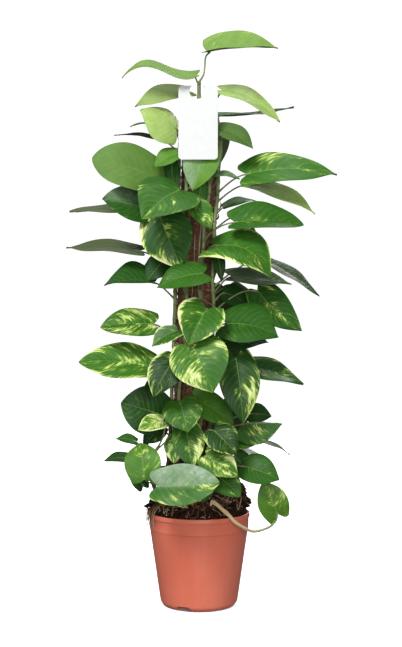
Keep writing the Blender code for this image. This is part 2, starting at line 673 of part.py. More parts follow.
def material(name, colour, roughness, metallic=0.0):
    """A Principled BSDF material."""
    mat = bpy.data.materials.new(name)
    mat.use_nodes = True
    shader = mat.node_tree.nodes["Principled BSDF"]
    shader.inputs["Base Color"].default_value = (*colour, 1)
    shader.inputs["Roughness"].default_value = roughness
    shader.inputs["Metallic"].default_value = metallic
    mat.diffuse_color = (*colour, 1)
    return mat


def finish_object(obj, mat, sharp=40):
    obj.data.materials.clear()
    obj.data.materials.append(mat)
    obj.data.shade_smooth()
    obj.data.set_sharp_from_angle(angle=math.radians(sharp))


def tube(name, route, radius, collection, bevel_resolution=1, thin_end=1.0):
    """A closed tube round a route: a bevelled curve with filled caps, made a mesh and welded."""
    curve = bpy.data.curves.new(name, "CURVE")
    curve.dimensions = "3D"
    curve.bevel_depth = mm(radius)
    curve.bevel_resolution = bevel_resolution
    curve.use_fill_caps = True
    spline = curve.splines.new("POLY")
    spline.points.add(len(route) - 1)
    for i, (point, place) in enumerate(zip(spline.points, route)):
        point.co = (*(place * 0.001), 1)
        point.radius = 1 + (thin_end - 1) * max(0, 2 * i / len(route) - 1)
    drawn = new_object(name + "_curve", curve, collection)
    bpy.context.view_layer.update()
    mesh = evaluated_mesh(drawn)
    matrix = drawn.matrix_world.copy()
    bpy.data.objects.remove(drawn)
    weld(mesh)
    obj = new_object(name, mesh, collection)
    obj.matrix_world = matrix
    return obj


def weld(mesh, distance=WELD_DISTANCE):
    bm = bmesh.new()
    bm.from_mesh(mesh)
    bmesh.ops.remove_doubles(bm, verts=bm.verts, dist=distance)
    bmesh.ops.recalc_face_normals(bm, faces=bm.faces)
    bm.to_mesh(mesh)
    bm.free()


def turned(name, profile, segments, collection, closed=False):
    """A solid turned from (radius, height) points that run down its outer side."""
    edges = [(i, i + 1) for i in range(len(profile) - 1)]
    if closed:
        edges.append((len(profile) - 1, 0))
    mesh = bpy.data.meshes.new(name)
    mesh.from_pydata([mm(r, 0, z) for r, z in profile], edges, [])
    obj = new_object(name, mesh, collection)
    screw = obj.modifiers.new("turn", "SCREW")
    screw.steps = segments
    screw.render_steps = segments
    screw.use_merge_vertices = True
    screw.merge_threshold = WELD_DISTANCE
    return obj


def lean_with_pole(mesh):
    """Shear a mesh round the Z axis so that it follows the pole's axis."""
    for vertex in mesh.vertices:
        vertex.co.x += pole_axis(vertex.co.z * 1000).x * 0.001


def cut(obj, cutters):
    """Cut each cutter out of an object, with the modifiers applied."""
    for cutter in cutters:
        cutter.hide_render = True
        cutter.display_type = "WIRE"
        boolean = obj.modifiers.new("cut " + cutter.name, "BOOLEAN")
        boolean.operation = "DIFFERENCE"
        boolean.solver = "EXACT"
        boolean.object = cutter
    bpy.context.view_layer.update()
    apply_modifiers(obj)


def cylinder(name, radius, low, high, x, y, sides, collection):
    mesh = bpy.data.meshes.new(name)
    bm = bmesh.new()
    bmesh.ops.create_cone(bm, cap_ends=True, segments=sides, radius1=mm(radius), radius2=mm(radius),
                          depth=mm(high - low))
    bmesh.ops.translate(bm, verts=bm.verts, vec=mm(x, y, (low + high) / 2))
    bm.to_mesh(mesh)
    bm.free()
    return new_object(name, mesh, collection)


def make_pot(parts, cutters):
    """Moulded pot: rolled lip, skirt, tapering wall, raised floor, foot with notches, drain holes."""
    floor = POT_FLOOR_HEIGHT
    lip = POT_HEIGHT - POT_LIP_HEIGHT
    inside_top = POT_SKIRT_RADIUS - POT_WALL
    foot_inside = POT_FOOT_RADIUS - POT_WALL
    chamfer = (1 - math.cos(math.radians(45))) * POT_CORNER
    profile = [
        (0, floor), (pot_inner_radius(floor), floor), (pot_inner_radius(POT_SKIRT_BOTTOM), POT_SKIRT_BOTTOM),
        (inside_top, POT_SKIRT_BOTTOM + POT_WALL), (inside_top, POT_HEIGHT - POT_LIP_ROUND),
        (inside_top + 1.2, POT_HEIGHT),
        (POT_RIM_RADIUS - 1.8, POT_HEIGHT), (POT_RIM_RADIUS, POT_HEIGHT - POT_LIP_ROUND),
        (POT_RIM_RADIUS, lip + 1.2),
        (POT_RIM_RADIUS - 1, lip), (POT_SKIRT_RADIUS + 0.4, lip), (POT_SKIRT_RADIUS, POT_SKIRT_BOTTOM + 1),
        (POT_SKIRT_RADIUS - 0.8, POT_SKIRT_BOTTOM), (POT_WALL_TOP_RADIUS, POT_SKIRT_BOTTOM - 1),
        (POT_FOOT_RADIUS, POT_CORNER), (POT_FOOT_RADIUS - chamfer, chamfer),
        (POT_FOOT_RADIUS - POT_CORNER, 0), (POT_FOOT_RADIUS - POT_CORNER - POT_FOOT_WIDTH, 0),
        (foot_inside - 2.5, POT_CORNER - 1), (foot_inside - 1.6, floor - POT_WALL), (0, floor - POT_WALL),
    ]
    pot = turned("pot", profile, POT_SEGMENTS, parts)
    tools = []
    for i in range(NOTCH_COUNT):
        angle = math.radians(NOTCH_TURN) + 2 * math.pi * i / NOTCH_COUNT
        mesh = bpy.data.meshes.new(f"notch_{i}")
        bm = bmesh.new()
        bmesh.ops.create_cube(bm, size=1)
        bmesh.ops.scale(bm, verts=bm.verts, vec=mm(NOTCH_DEPTH, NOTCH_WIDTH, 2 * NOTCH_HEIGHT))
        bm.to_mesh(mesh)
        bm.free()
        box = new_object(f"notch_{i}", mesh, cutters)
        box.location = mm(POT_FOOT_RADIUS * math.cos(angle), POT_FOOT_RADIUS * math.sin(angle), 0)
        box.rotation_euler = (0, 0, angle)
        tools.append(box)
    for i in range(HOLE_COUNT):
        angle = math.radians(HOLE_TURN) + 2 * math.pi * i / HOLE_COUNT
        x = HOLE_RING * math.cos(angle)
        y = HOLE_RING * math.sin(angle)
        tools.append(cylinder(f"drain_{i}", HOLE_RADIUS, 0, floor + 5, x, y, HOLE_SIDES, cutters))
    cut(pot, tools)
    finish_object(pot, material("terracotta_plastic", (0.60, 0.15, 0.085), 0.42), sharp=30)
    return pot


def make_soil(routes, parts, cutters):
    """Potting mix that fills the pot and mounds round the pole, with plain holes for pole and stems."""
    floor = POT_FLOOR_HEIGHT + GAP
    inner = pot_inner_radius(POT_HEIGHT) - GAP
    profile = [(share * inner, z) for share, z in SOIL_MOUND]
    profile += [(inner, POT_SKIRT_BOTTOM + POT_WALL)]
    profile += [(pot_inner_radius(z) - GAP, z) for z in (POT_SKIRT_BOTTOM, floor)]
    profile.append((0, floor))
    soil = turned("soil", profile, POT_SEGMENTS, parts)
    bpy.context.view_layer.update()
    apply_modifiers(soil)
    for vertex in soil.data.vertices:
        radius = math.hypot(vertex.co.x, vertex.co.y) * 1000
        if vertex.co.z > mm(POT_HEIGHT) and radius < inner - 1:
            vertex.co.z += mm(SOIL_LUMP) * noise.noise(vertex.co * SOIL_LUMP_SCALE)
            vertex.co.z += mm(SOIL_TILT) * (vertex.co.x + vertex.co.y) / mm(inner)
            vertex.co.z += mm(heap_height(vertex.co.x * 1000, vertex.co.y * 1000))
    hole = POLE_RADIUS + POLE_HOLE_CLEARANCE
    tools = [cylinder("pole_hole", hole, POLE_BOTTOM - GAP, SOIL_CUT_TOP, 0, 0, COIR_SEGMENTS, cutters)]
    lean_with_pole(tools[0].data)
    for name, route in routes.items():
        foot = route[0]
        tools.append(cylinder(name + "_hole", STEM_RADIUS + STEM_HOLE_CLEARANCE, foot.z - GAP, SOIL_CUT_TOP,
                              foot.x, foot.y, HOLE_SIDES, cutters))
    cut(soil, tools)
    finish_object(soil, material("potting_soil", (0.035, 0.02, 0.014), 0.95))
    return soil


def make_pole(parts):
    """Wooden stake and the coir wrapped round it."""
    core = cylinder("pole_core", CORE_RADIUS, POLE_BOTTOM, POLE_TOP + CORE_ABOVE, 0, 0, CORE_SIDES, parts)
    lean_with_pole(core.data)
    finish_object(core, material("stake_wood", (0.30, 0.19, 0.10), 0.8))
    inner = CORE_RADIUS + GAP + 0.2
    top = POLE_TOP
    outer = [(POLE_RADIUS - COIR_EDGE, top)]
    edge = top - COIR_EDGE
    for i in range(COIR_RINGS + 1):
        outer.append((POLE_RADIUS, edge - (edge - POLE_BOTTOM) * i / COIR_RINGS))
    profile = [(inner, top)] + outer + [(inner, POLE_BOTTOM)]
    coir = turned("coir_pole", profile, COIR_SEGMENTS, parts, closed=True)
    bpy.context.view_layer.update()
    apply_modifiers(coir)
    for vertex in coir.data.vertices:
        radius = math.hypot(vertex.co.x, vertex.co.y)
        if radius > mm(POLE_RADIUS - 1) and vertex.co.z > mm(COIR_SMOOTH_BELOW):
            dent = mm(COIR_ROUGHNESS) * (0.5 + 0.5 * noise.noise(vertex.co * COIR_LUMP_SCALE))
            vertex.co.x *= 1 - dent / radius
            vertex.co.y *= 1 - dent / radius
    lean_with_pole(coir.data)
    finish_object(coir, material("coir", (0.16, 0.07, 0.035), 0.95))


def make_tag(parts, cutters):
    """Plain white card with rounded corners and a hook notch open at its top edge."""
    curve = bpy.data.curves.new("hang_tag", "CURVE")
    curve.dimensions = "2D"
    curve.fill_mode = "BOTH"
    curve.extrude = mm(TAG_THICKNESS / 2)
    left = TAG_NOTCH_SIDE - TAG_WIDTH / 2
    right = left + TAG_WIDTH
    top = TAG_NOTCH_DEPTH
    bottom = top - TAG_HEIGHT
    outline = []
    for x, y, start in ((right, top, 0), (left, top, 90), (left, bottom, 180), (right, bottom, 270)):
        centre_x = x - math.copysign(TAG_CORNER, x)
        centre_y = y - TAG_CORNER if y == top else y + TAG_CORNER
        for k in range(TAG_CORNER_STEPS + 1):
            angle = math.radians(start + 90 * k / TAG_CORNER_STEPS)
            outline.append((centre_x + TAG_CORNER * math.cos(angle), centre_y + TAG_CORNER * math.sin(angle)))
    spline = curve.splines.new("POLY")
    spline.points.add(len(outline) - 1)
    spline.use_cyclic_u = True
    for point, (x, y) in zip(spline.points, outline):
        point.co = (mm(x), mm(y), 0, 1)
    drawn = new_object("tag_curve", curve, parts)
    bpy.context.view_layer.update()
    mesh = evaluated_mesh(drawn)
    bpy.data.objects.remove(drawn)
    weld(mesh)
    tag = new_object("hang_tag", mesh, parts)
    cut(tag, [cylinder("tag_notch", TAG_NOTCH_RADIUS, -5, 5, 0, 0, TAG_NOTCH_SIDES, cutters)])
    tag.location = notch_centre() * 0.001
    tag.rotation_euler = (math.radians(90) - TAG_LEAN, 0, 0)
    finish_object(tag, material("tag_card", (0.86, 0.87, 0.86), 0.5), sharp=30)


def blade_object(leaf, collection):
    """A blade as an open surface made solid."""
    points, triangles = leaf.surface()
    obj = new_object(leaf.name, mesh_from(leaf.name, points, triangles), collection)
    solidify = obj.modifiers.new("thickness", "SOLIDIFY")
    solidify.thickness = mm(BLADE_THICKNESS)
    solidify.offset = 0
    return obj


def make_stem(name, route, leaves, stalks, parts, mat):
    """One leafy stem: its tube, stalks and blades fused into one body."""
    pieces = new_collection(name + "_pieces")
    stem = tube(name, route, STEM_RADIUS, parts, thin_end=1.0 if name in CLIMBERS else LOW_STEM_END)
    for leaf in leaves:
        tube(leaf.name + "_stalk", stalks[leaf.name], STALK_RADIUS, pieces, bevel_resolution=0)
        blade_object(leaf, pieces)
    union = stem.modifiers.new("fuse", "BOOLEAN")
    union.operation = "UNION"
    union.solver = "MANIFOLD"
    union.operand_type = "COLLECTION"
    union.collection = pieces
    bpy.context.view_layer.update()
    apply_modifiers(stem)
    for piece in list(pieces.objects):
        bpy.data.objects.remove(piece)
    bpy.data.collections.remove(pieces)
    finish_object(stem, mat, sharp=50)


def main():
    remove_everything()
    parts = new_collection(MODEL_NAME)
    cutters = new_collection("cutters")
    routes, leaves, stalks, _ = grow()
    make_pot(parts, cutters)
    make_soil(routes, parts, cutters)
    make_pole(parts)
    make_tag(parts, cutters)
    green = material("pothos_leaf", (0.07, 0.22, 0.05), 0.35)
    for name, route in routes.items():
        make_stem(name, route, [leaf for leaf in leaves if leaf.stem == name], stalks, parts, green)


main()
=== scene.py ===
"""Potted pothos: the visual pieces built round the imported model, in metres.

Sizes and places are in millimetres as in the part's source, whose leaves, stems and stalks are repeated here.
"""
import math
import random

import bmesh
import bpy
from mathutils import Matrix, Vector, noise
from mathutils.bvhtree import BVHTree


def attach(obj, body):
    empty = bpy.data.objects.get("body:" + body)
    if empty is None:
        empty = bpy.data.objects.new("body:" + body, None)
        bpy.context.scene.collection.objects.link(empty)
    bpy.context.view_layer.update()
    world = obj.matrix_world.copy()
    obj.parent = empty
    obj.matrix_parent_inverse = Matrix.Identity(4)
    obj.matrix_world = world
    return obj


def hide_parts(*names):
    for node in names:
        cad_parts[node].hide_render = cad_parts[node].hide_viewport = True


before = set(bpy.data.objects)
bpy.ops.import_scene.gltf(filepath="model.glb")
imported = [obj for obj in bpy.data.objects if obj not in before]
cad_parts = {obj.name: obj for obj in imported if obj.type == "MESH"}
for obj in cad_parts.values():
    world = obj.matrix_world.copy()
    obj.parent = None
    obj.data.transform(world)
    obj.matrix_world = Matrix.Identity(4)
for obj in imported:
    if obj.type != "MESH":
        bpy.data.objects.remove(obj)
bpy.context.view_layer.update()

GAP = 0.3

# Pot: a 17 cm nursery pot
POT_HEIGHT = 155
POT_RIM_RADIUS = 85
POT_LIP_HEIGHT = 8
POT_SKIRT_RADIUS = 83.2
POT_SKIRT_BOTTOM = 128
POT_WALL_TOP_RADIUS = 82
POT_FOOT_RADIUS = 65
POT_WALL = 2.0
POT_FLOOR_HEIGHT = 13
POT_CORNER = 11
POT_FOOT_WIDTH = 2.5
POT_TEST_BOTTOM = 60
POT_TEST_INNER = 60
NOTCH_COUNT = 3
NOTCH_WIDTH = 28
NOTCH_DEPTH = 30
NOTCH_HEIGHT = 9
NOTCH_TURN = 246
HOLE_COUNT = 6
HOLE_RADIUS = 5
HOLE_RING = 36
HOLE_TURN = 34

# Soil: height of its mound at each radius, as a share of the pot's inner radius, and the places, heights and
# spreads of the root heaps that stand on it
SOIL_MOUND = [(0.0, 186), (0.45, 184), (0.66, 179), (0.8, 173), (0.92, 164), (1.0, 153)]
SOIL_TILT = 5
SOIL_HEAPS = [(71, -12, 27, 15), (-70, -8, 20, 14)]
SOIL_LUMP = 4
SOIL_LUMP_SCALE = 55

# Pole: its axis leans a little to the right as it rises
POLE_RADIUS = 30
POLE_BOTTOM = 24
POLE_TOP = 762
POLE_FOOT_X = -23.5
POLE_LEAN = 0.0335
CORE_RADIUS = 11

# Stems, stalks and blades
STEM_RADIUS = 3.4
STEM_CLEARANCE = 0.8
STEM_FOOT = 112
STEM_STRAIGHT_TOP = 200
STEM_SOIL_DISTANCE = 43
STEM_JOINS_POLE = 252
STEM_STEP = 42
LOW_STEM_STEP = 16
SWAY_START = 60
SWAY_WAVE = 62
LOW_STEM_END = 0.5
STALK_RADIUS = 1.5
STALK_STEPS = 4
STALK_TEST_RADIUS = 2.3
STALK_IN_BLADE = 4
STALK_LOWEST = STEM_STRAIGHT_TOP + 8
STALK_STARTS = (0.35, 0.15, 0.6, -0.1, 0.9, 1.3, -0.4, 1.8)
STALK_SPREADS = (0.0, 0.25, -0.25, 0.5, -0.5)
STALK_LEAVES = (0.35, 0.3)
STALK_ARRIVES = (0.35, -0.1, 0.25)
STALK_ARRIVAL = 0.3
STALK_ROUND_POLE = 1.2
BLADE_THICKNESS = 0.9
BLADE_TEST_MARGIN = 4
LOBE = 0.13
LOBE_CURL = 0.66
TAPER = 1.1
SLIM_TAPER = 1.25
SLIM_FILL = 0.2
FILL_GAIN = 0.27
CUP = 0.10
WAVE = 0.014
WAVE_TURNS = 9
WAVE_LEAF_SHIFT = 1.7
WAVE_EDGE_SHIFT = 1.3
SMALL_BLADE = 66
EYE = Vector((3, -1850, 470))

# Tag: a card with a round hook notch at the top, placed as seen from the front
TAG_WIDTH = 64
TAG_HEIGHT = 122
TAG_THICKNESS = 0.8
TAG_CORNER = 6
TAG_NOTCH_RADIUS = 12.5
TAG_NOTCH_SEEN = (-3, 860)
TAG_NOTCH_DEPTH = 9.5
TAG_NOTCH_SIDE = 1.5
TAG_Y = -57
TAG_LEAN = math.radians(4)
HOOK_STEPS = [(3, 6.5, -18), (3, 3.7, -12.5), (3, 0, -4), (3, -5, 6), (3, -8, 13)]

# Climbing stems: the side of the pole that each climbs, in degrees round from +X, and how it ends
CLIMBERS = {
    "vine_left": dict(side=186, sway=9, turn=0.8, top=[(-32, -8, 775), (-27, -12, 800)]),
    "vine_front_left": dict(side=238, sway=8, turn=0.2,
                            top=[(-18, -32, 775), (-16, -31, 815), (-21, -27, 842)]),
    "vine_front_right": dict(side=290, sway=9, turn=2.4, top=[(10, -40, 780), (6, -48, 825)]),
    "vine_right": dict(side=334, sway=9, turn=1.6, top=[(36, -13, 775), (30, -17, 815), (25, -20, 838)]),
    "vine_back_right": dict(side=50, sway=10, turn=0.9, top=[(25, 28, 775), (20, 29, 800)]),
    "vine_back_left": dict(side=128, sway=10, turn=2.9, top=[(-19, 29, 775), (-15, 30, 795)]),
}

# Low stems, point by point from the soil
LOW_STEMS = {
    "shoot_left": [
        (-62, -30, 116), (-62, -30, 178), (-69, -38, 192), (-77, -48, 212), (-77, -56, 240), (-70, -58, 264),
    ],
    "runner_right": [
        (20, -54, 118), (20, -54, 175), (28, -61, 176), (38, -67, 168.5), (48, -71, 160.5), (58, -73, 149.5),
        (70, -68, 141), (82, -62, 134), (92, -60, 132), (105, -59, 135), (116, -60, 140), (123, -60, 147),
    ],
}

# Leaves one by one: name, stem, base, tip, width and where the upper side looks. Base and tip are (x, depth,
# z), x and z as seen from the eye on the plane through the pot's axis. arch and bend bow the midrib up and
# sideways, as shares of the length. skew moves the bow towards the tip, fold lifts both halves in degrees,
# lobe is how far they reach behind the stalk, and a lower taper makes a fuller tip.
LEAVES = [
    ("a1", "vine_front_right", (15, -52, 926), (133, -62, 932), 84, (0.0, -0.6, 0.8),
     dict(fold=30, arch=0.04, lobe=0.08)),
    ("a2", "vine_front_right", (-6, -50, 886), (-130, -45, 882), 60, (0.0, -0.5, 1.0),
     dict(arch=0.125, skew=1.4, lobe=0.06)),
    ("a3", "vine_front_left", (-26, -12, 862), (-108, -44, 834), 46, (-0.1, -0.8, 0.6),
     dict(fold=6, lobe=0.2)),
    ("a4", "vine_front_left", (-38, -42, 797), (-99, -56, 829), 74, (-0.25, -0.75, 0.6), dict(fold=-14)),
    ("a5", "vine_left", (-50, 22, 798), (-116, 16, 801), 45, (0.0, -0.25, 0.97), dict()),
    ("a6", "vine_left", (-60, 10, 776), (-143, 0, 786), 52, (0.0, -0.07, 1.0), dict(arch=0.05)),
    ("a7", "vine_right", (40, -26, 862), (136, -36, 808), 62, (0.4, -0.6, 0.7), dict(arch=0.1)),
    ("a8", "vine_right", (30, 14, 818), (160, 26, 833), 70, (0.0, -0.27, 1.0), dict(arch=-0.03, taper=1.6)),
    ("a9", "vine_right", (36, -38, 798), (91, -52, 764), 48, (0.35, -0.75, 0.5), dict()),
    ("b1", "vine_left", (-63, -38, 711), (-180, -62, 747), 94, (-0.1, -0.82, 0.52),
     dict(bend=0.03, taper=0.62)),
    ("b2", "vine_front_left", (-36, -44, 757), (-76, -54, 731), 40, (-0.2, -0.8, 0.6), dict()),
    ("b3", "vine_front_left", (11, -49, 765), (-11, -56, 692), 60, (0.0, -0.97, 0.2), dict()),
    ("b4", "vine_front_left", (3, -41, 704), (-2, -46, 662), 28, (0.35, -0.9, 0.0), dict(arch=0.0)),
    ("b5", "vine_front_right", (26, -44, 719), (69, -50, 712), 40, (0.0, -0.4, 1.0), dict()),
    ("b6", "vine_right", (82, -30, 721), (232, -14, 719), 90, (0.0, -0.68, 0.74),
     dict(arch=0.08, taper=1.25, lobe=0.1)),
    ("b7", "vine_right", (88, -6, 703), (195, -24, 654), 54, (0.3, -0.6, 0.72), dict(arch=0.08)),
    ("b8", "vine_back_right", (45, 30, 667), (99, 42, 675), 42, (0.0, -0.4, 0.97), dict()),
    ("b9", "vine_front_right", (62, -62, 640), (176, -54, 635), 84, (0.0, -0.62, 0.78),
     dict(fold=22, arch=0.05, taper=0.9)),
    ("b10", "vine_front_right", (28, -74, 600), (121, -88, 546), 92, (0.35, -0.75, 0.56),
     dict(arch=0.16, bend=0.12)),
    ("b11", "vine_front_left", (-46, -30, 742), (-40, -36, 692), 26, (-0.2, -0.95, 0.1), dict()),
    ("b12", "vine_right", (29, -32, 592), (38, -38, 540), 22, (0.2, -0.95, 0.1), dict()),
    ("c1", "vine_front_left", (-79, -44, 660), (-163, -84, 679), 74, (-0.25, -0.85, 0.45),
     dict(arch=0.04, taper=0.9)),
    ("c2", "vine_left", (-86, 10, 666), (-218, -4, 657), 70, (0.0, -0.36, 1.0), dict(arch=0.0, taper=0.95)),
    ("c3", "vine_front_left", (-32, -80, 694), (-96, -150, 645), 100, (0.1, -0.75, 0.62), dict()),
    ("c4", "vine_left", (-104, -26, 592), (-223, -18, 597), 70, (0.0, -0.4, 1.0), dict(arch=0.03)),
    ("c5", "vine_left", (-76, -30, 538), (-160, -62, 533), 84, (-0.15, -0.6, 0.8),
     dict(fold=28, taper=1.4)),
    ("c6", "vine_front_left", (-66, -66, 650), (-28, -78, 560), 88, (-0.2, -0.95, 0.2), dict()),
    ("c7", "vine_front_left", (7, -92, 554), (-71, -96, 530), 64, (0.0, -0.68, 0.73), dict()),
    ("c8", "vine_front_left", (-10, -90, 674), (20, -104, 628), 40, (0.25, -0.9, 0.3), dict()),
    ("c9", "vine_left", (-56, -24, 578), (-88, -34, 540), 44, (-0.2, -0.95, 0.2), dict()),
    ("d1", "vine_right", (56, -50, 549), (156, -40, 536), 60, (0.0, -0.52, 0.85), dict(arch=0.04)),
    ("d2", "vine_right", (119, 20, 573), (203, 10, 516), 54, (0.45, -0.42, 0.8), dict(arch=0.03)),
    ("d3", "vine_right", (98, -22, 526), (173, -46, 457), 68, (0.25, -0.9, 0.36), dict(bend=-0.1)),
    ("d4", "vine_right", (40, -8, 522), (84, -4, 500), 50, (0.0, -0.7, 0.7), dict(lobe=0.06)),
    ("d5", "vine_right", (46, -80, 469), (134, -92, 447), 98, (0.15, -0.7, 0.7),
     dict(arch=0.08, bend=0.05)),
    ("d6", "vine_front_right", (13, -92, 494), (-18, -124, 433), 86, (0.0, -0.92, 0.4), dict(fold=28)),
    ("d7", "vine_front_left", (-10, -112, 433), (24, -142, 353), 96, (-0.1, -0.88, 0.46), dict()),
    ("d8", "vine_front_right", (42, -58, 437), (117, -62, 438), 58, (0.0, -0.6, 0.8), dict()),
    ("e1", "vine_left", (-77, -50, 469), (-166, -60, 464), 72, (-0.1, -0.68, 0.74),
     dict(arch=0.05, taper=0.9)),
    ("e2", "vine_front_left", (-37, -72, 458), (-79, -88, 431), 42, (-0.2, -0.7, 0.7), dict()),
    ("e3", "vine_left", (-87, -62, 400), (-202, -56, 405), 84, (-0.1, -0.68, 0.74),
     dict(arch=0.05, taper=0.9)),
    ("e4", "vine_front_left", (-40, -100, 410), (-77, -126, 346), 62, (-0.15, -0.85, 0.5), dict()),
    ("e5", "vine_right", (77, -60, 398), (176, -54, 368), 64, (0.1, -0.55, 0.83), dict(arch=0.06)),
    ("e6", "vine_front_right", (62, -84, 413), (74, -104, 301), 68, (0.1, -0.97, 0.22), dict()),
    ("e7", "vine_front_right", (-8, -58, 344), (60, -66, 298), 54, (0.2, -0.85, 0.5), dict()),
    ("f1", "vine_left", (-60, -44, 316), (-131, -62, 337), 82, (-0.15, -0.95, 0.25),
     dict(arch=0.05, taper=0.8)),
    ("f2", "shoot_left", (-60, -66, 306), (-103, -88, 290), 38, (-0.1, -0.75, 0.65), dict()),
    ("f3", "vine_front_left", (-32, -88, 338), (-18, -108, 286), 66, (0.0, -0.92, 0.38), dict()),
    ("f4", "vine_front_left", (-22, -78, 296), (-12, -94, 226), 54, (0.1, -0.95, 0.3), dict()),
    ("f5", "shoot_left", (-38, -56, 278), (-42, -72, 234), 38, (-0.1, -0.95, 0.3), dict()),
    ("f6", "vine_right", (84, -16, 318), (122, -18, 314), 42, (0.0, -0.75, 0.65), dict()),
    ("f7", "vine_right", (72, -62, 300), (140, -70, 301), 68, (0.0, -0.6, 0.8), dict(fold=-33, arch=0.04)),
    ("f8", "vine_right", (84, -8, 274), (153, -4, 249), 30, (0.4, -0.15, 0.9), dict()),
    ("f9", "vine_front_right", (25, -96, 290), (64, -112, 249), 54, (0.1, -0.9, 0.42), dict()),
    ("f10", "vine_right", (60, -48, 274), (99, -60, 268), 44, (0.1, -0.75, 0.65), dict()),
    ("f11", "vine_left", (-62, -20, 296), (-90, -22, 268), 34, (0.0, -0.9, 0.4), dict()),
    ("g1", "shoot_left", (-91, -100, 208), (-98, -64, 270), 60, (0.0, -0.95, 0.3),
     dict(arch=0.2, lobe=0.07)),
    ("g2", "shoot_left", (-69, -126, 197), (35, -138, 203), 72, (0.0, -0.85, 0.52),
     dict(arch=-0.04, taper=0.85)),
    ("g3", "shoot_left", (-64, -86, 186), (-18, -92, 160), 28, (0.0, -0.7, 0.7), dict()),
    ("g4", "vine_front_right", (18, -80, 210), (7, -90, 168), 28, (0.0, -0.95, 0.3), dict()),
    ("g5", "vine_front_right", (12, -94, 247), (66, -112, 212), 54, (0.1, -0.88, 0.47), dict()),
    ("g6", "vine_right", (32, -84, 213), (71, -100, 178), 46, (0.1, -0.88, 0.42), dict()),
    ("g7", "vine_right", (76, -66, 230), (136, -82, 206), 58, (0.1, -0.82, 0.55), dict()),
    ("g8", "runner_right", (132, -60, 150), (107, -62, 204), 52, (0.1, -0.95, 0.1),
     dict(lobe=0.2, taper=0.9)),
    ("g9", "shoot_left", (-114, -22, 243), (-160, -26, 239), 34, (-0.1, -0.45, 0.9), dict()),
    ("g10", "shoot_left", (-106, -62, 272), (-140, -66, 276), 26, (0.0, -0.6, 0.9), dict()),
    ("g11", "shoot_left", (-94, -50, 196), (-116, -54, 240), 28, (0.0, -1.0, 0.0), dict()),
    ("g12", "vine_right", (60, -36, 248), (96, -42, 202), 40, (0.0, -0.92, 0.3), dict()),
]

# Leaves at the back, by a seeded rule
BACK_SEED = 5
BACK_STEMS = ["vine_back_left", "vine_back_right"]
BACK_LOWEST = 215
BACK_HIGHEST = 800
BACK_STEP = 52
BACK_TRIES = 90
BACK_HALF_WIDTH = 135
BACK_REACH = 150
BACK_EXPOSED = 0.06
BACK_TURN = 80
BACK_LENGTH = (78, 112)
BACK_WIDTH = (0.66, 0.76)
BACK_DROP = (10, 80)
BACK_DISTANCE = (52, 96)
BACK_ASIDE = 0.35

# Mesh detail of a blade: places along it from stalk to tip, and across it from edge to edge
ALONG = [0.0, 0.15, 0.38, 0.64, 0.86, 1.0]
ACROSS = [-1.0, -0.5, 0.0, 0.5, 1.0]
ALONG_PLAIN = [0.0, 0.2, 0.5, 0.8, 1.0]
ACROSS_PLAIN = [-1.0, 0.0, 1.0]


def seen(x, depth, z):
    """The point at a depth, in mm, that the eye sees at x and z on the plane through the pot's axis."""
    share = (depth - EYE.y) / -EYE.y
    return Vector((EYE.x + (x - EYE.x) * share, depth, EYE.z + (z - EYE.z) * share))


def polar(angle, radius=1.0):
    """The level vector at an angle, in radians round from +X."""
    return Vector((math.cos(angle) * radius, math.sin(angle) * radius, 0))


def pole_axis(z):
    """Where the leaning pole's axis is at a height, in mm."""
    return Vector((POLE_FOOT_X + POLE_LEAN * z, 0, z))


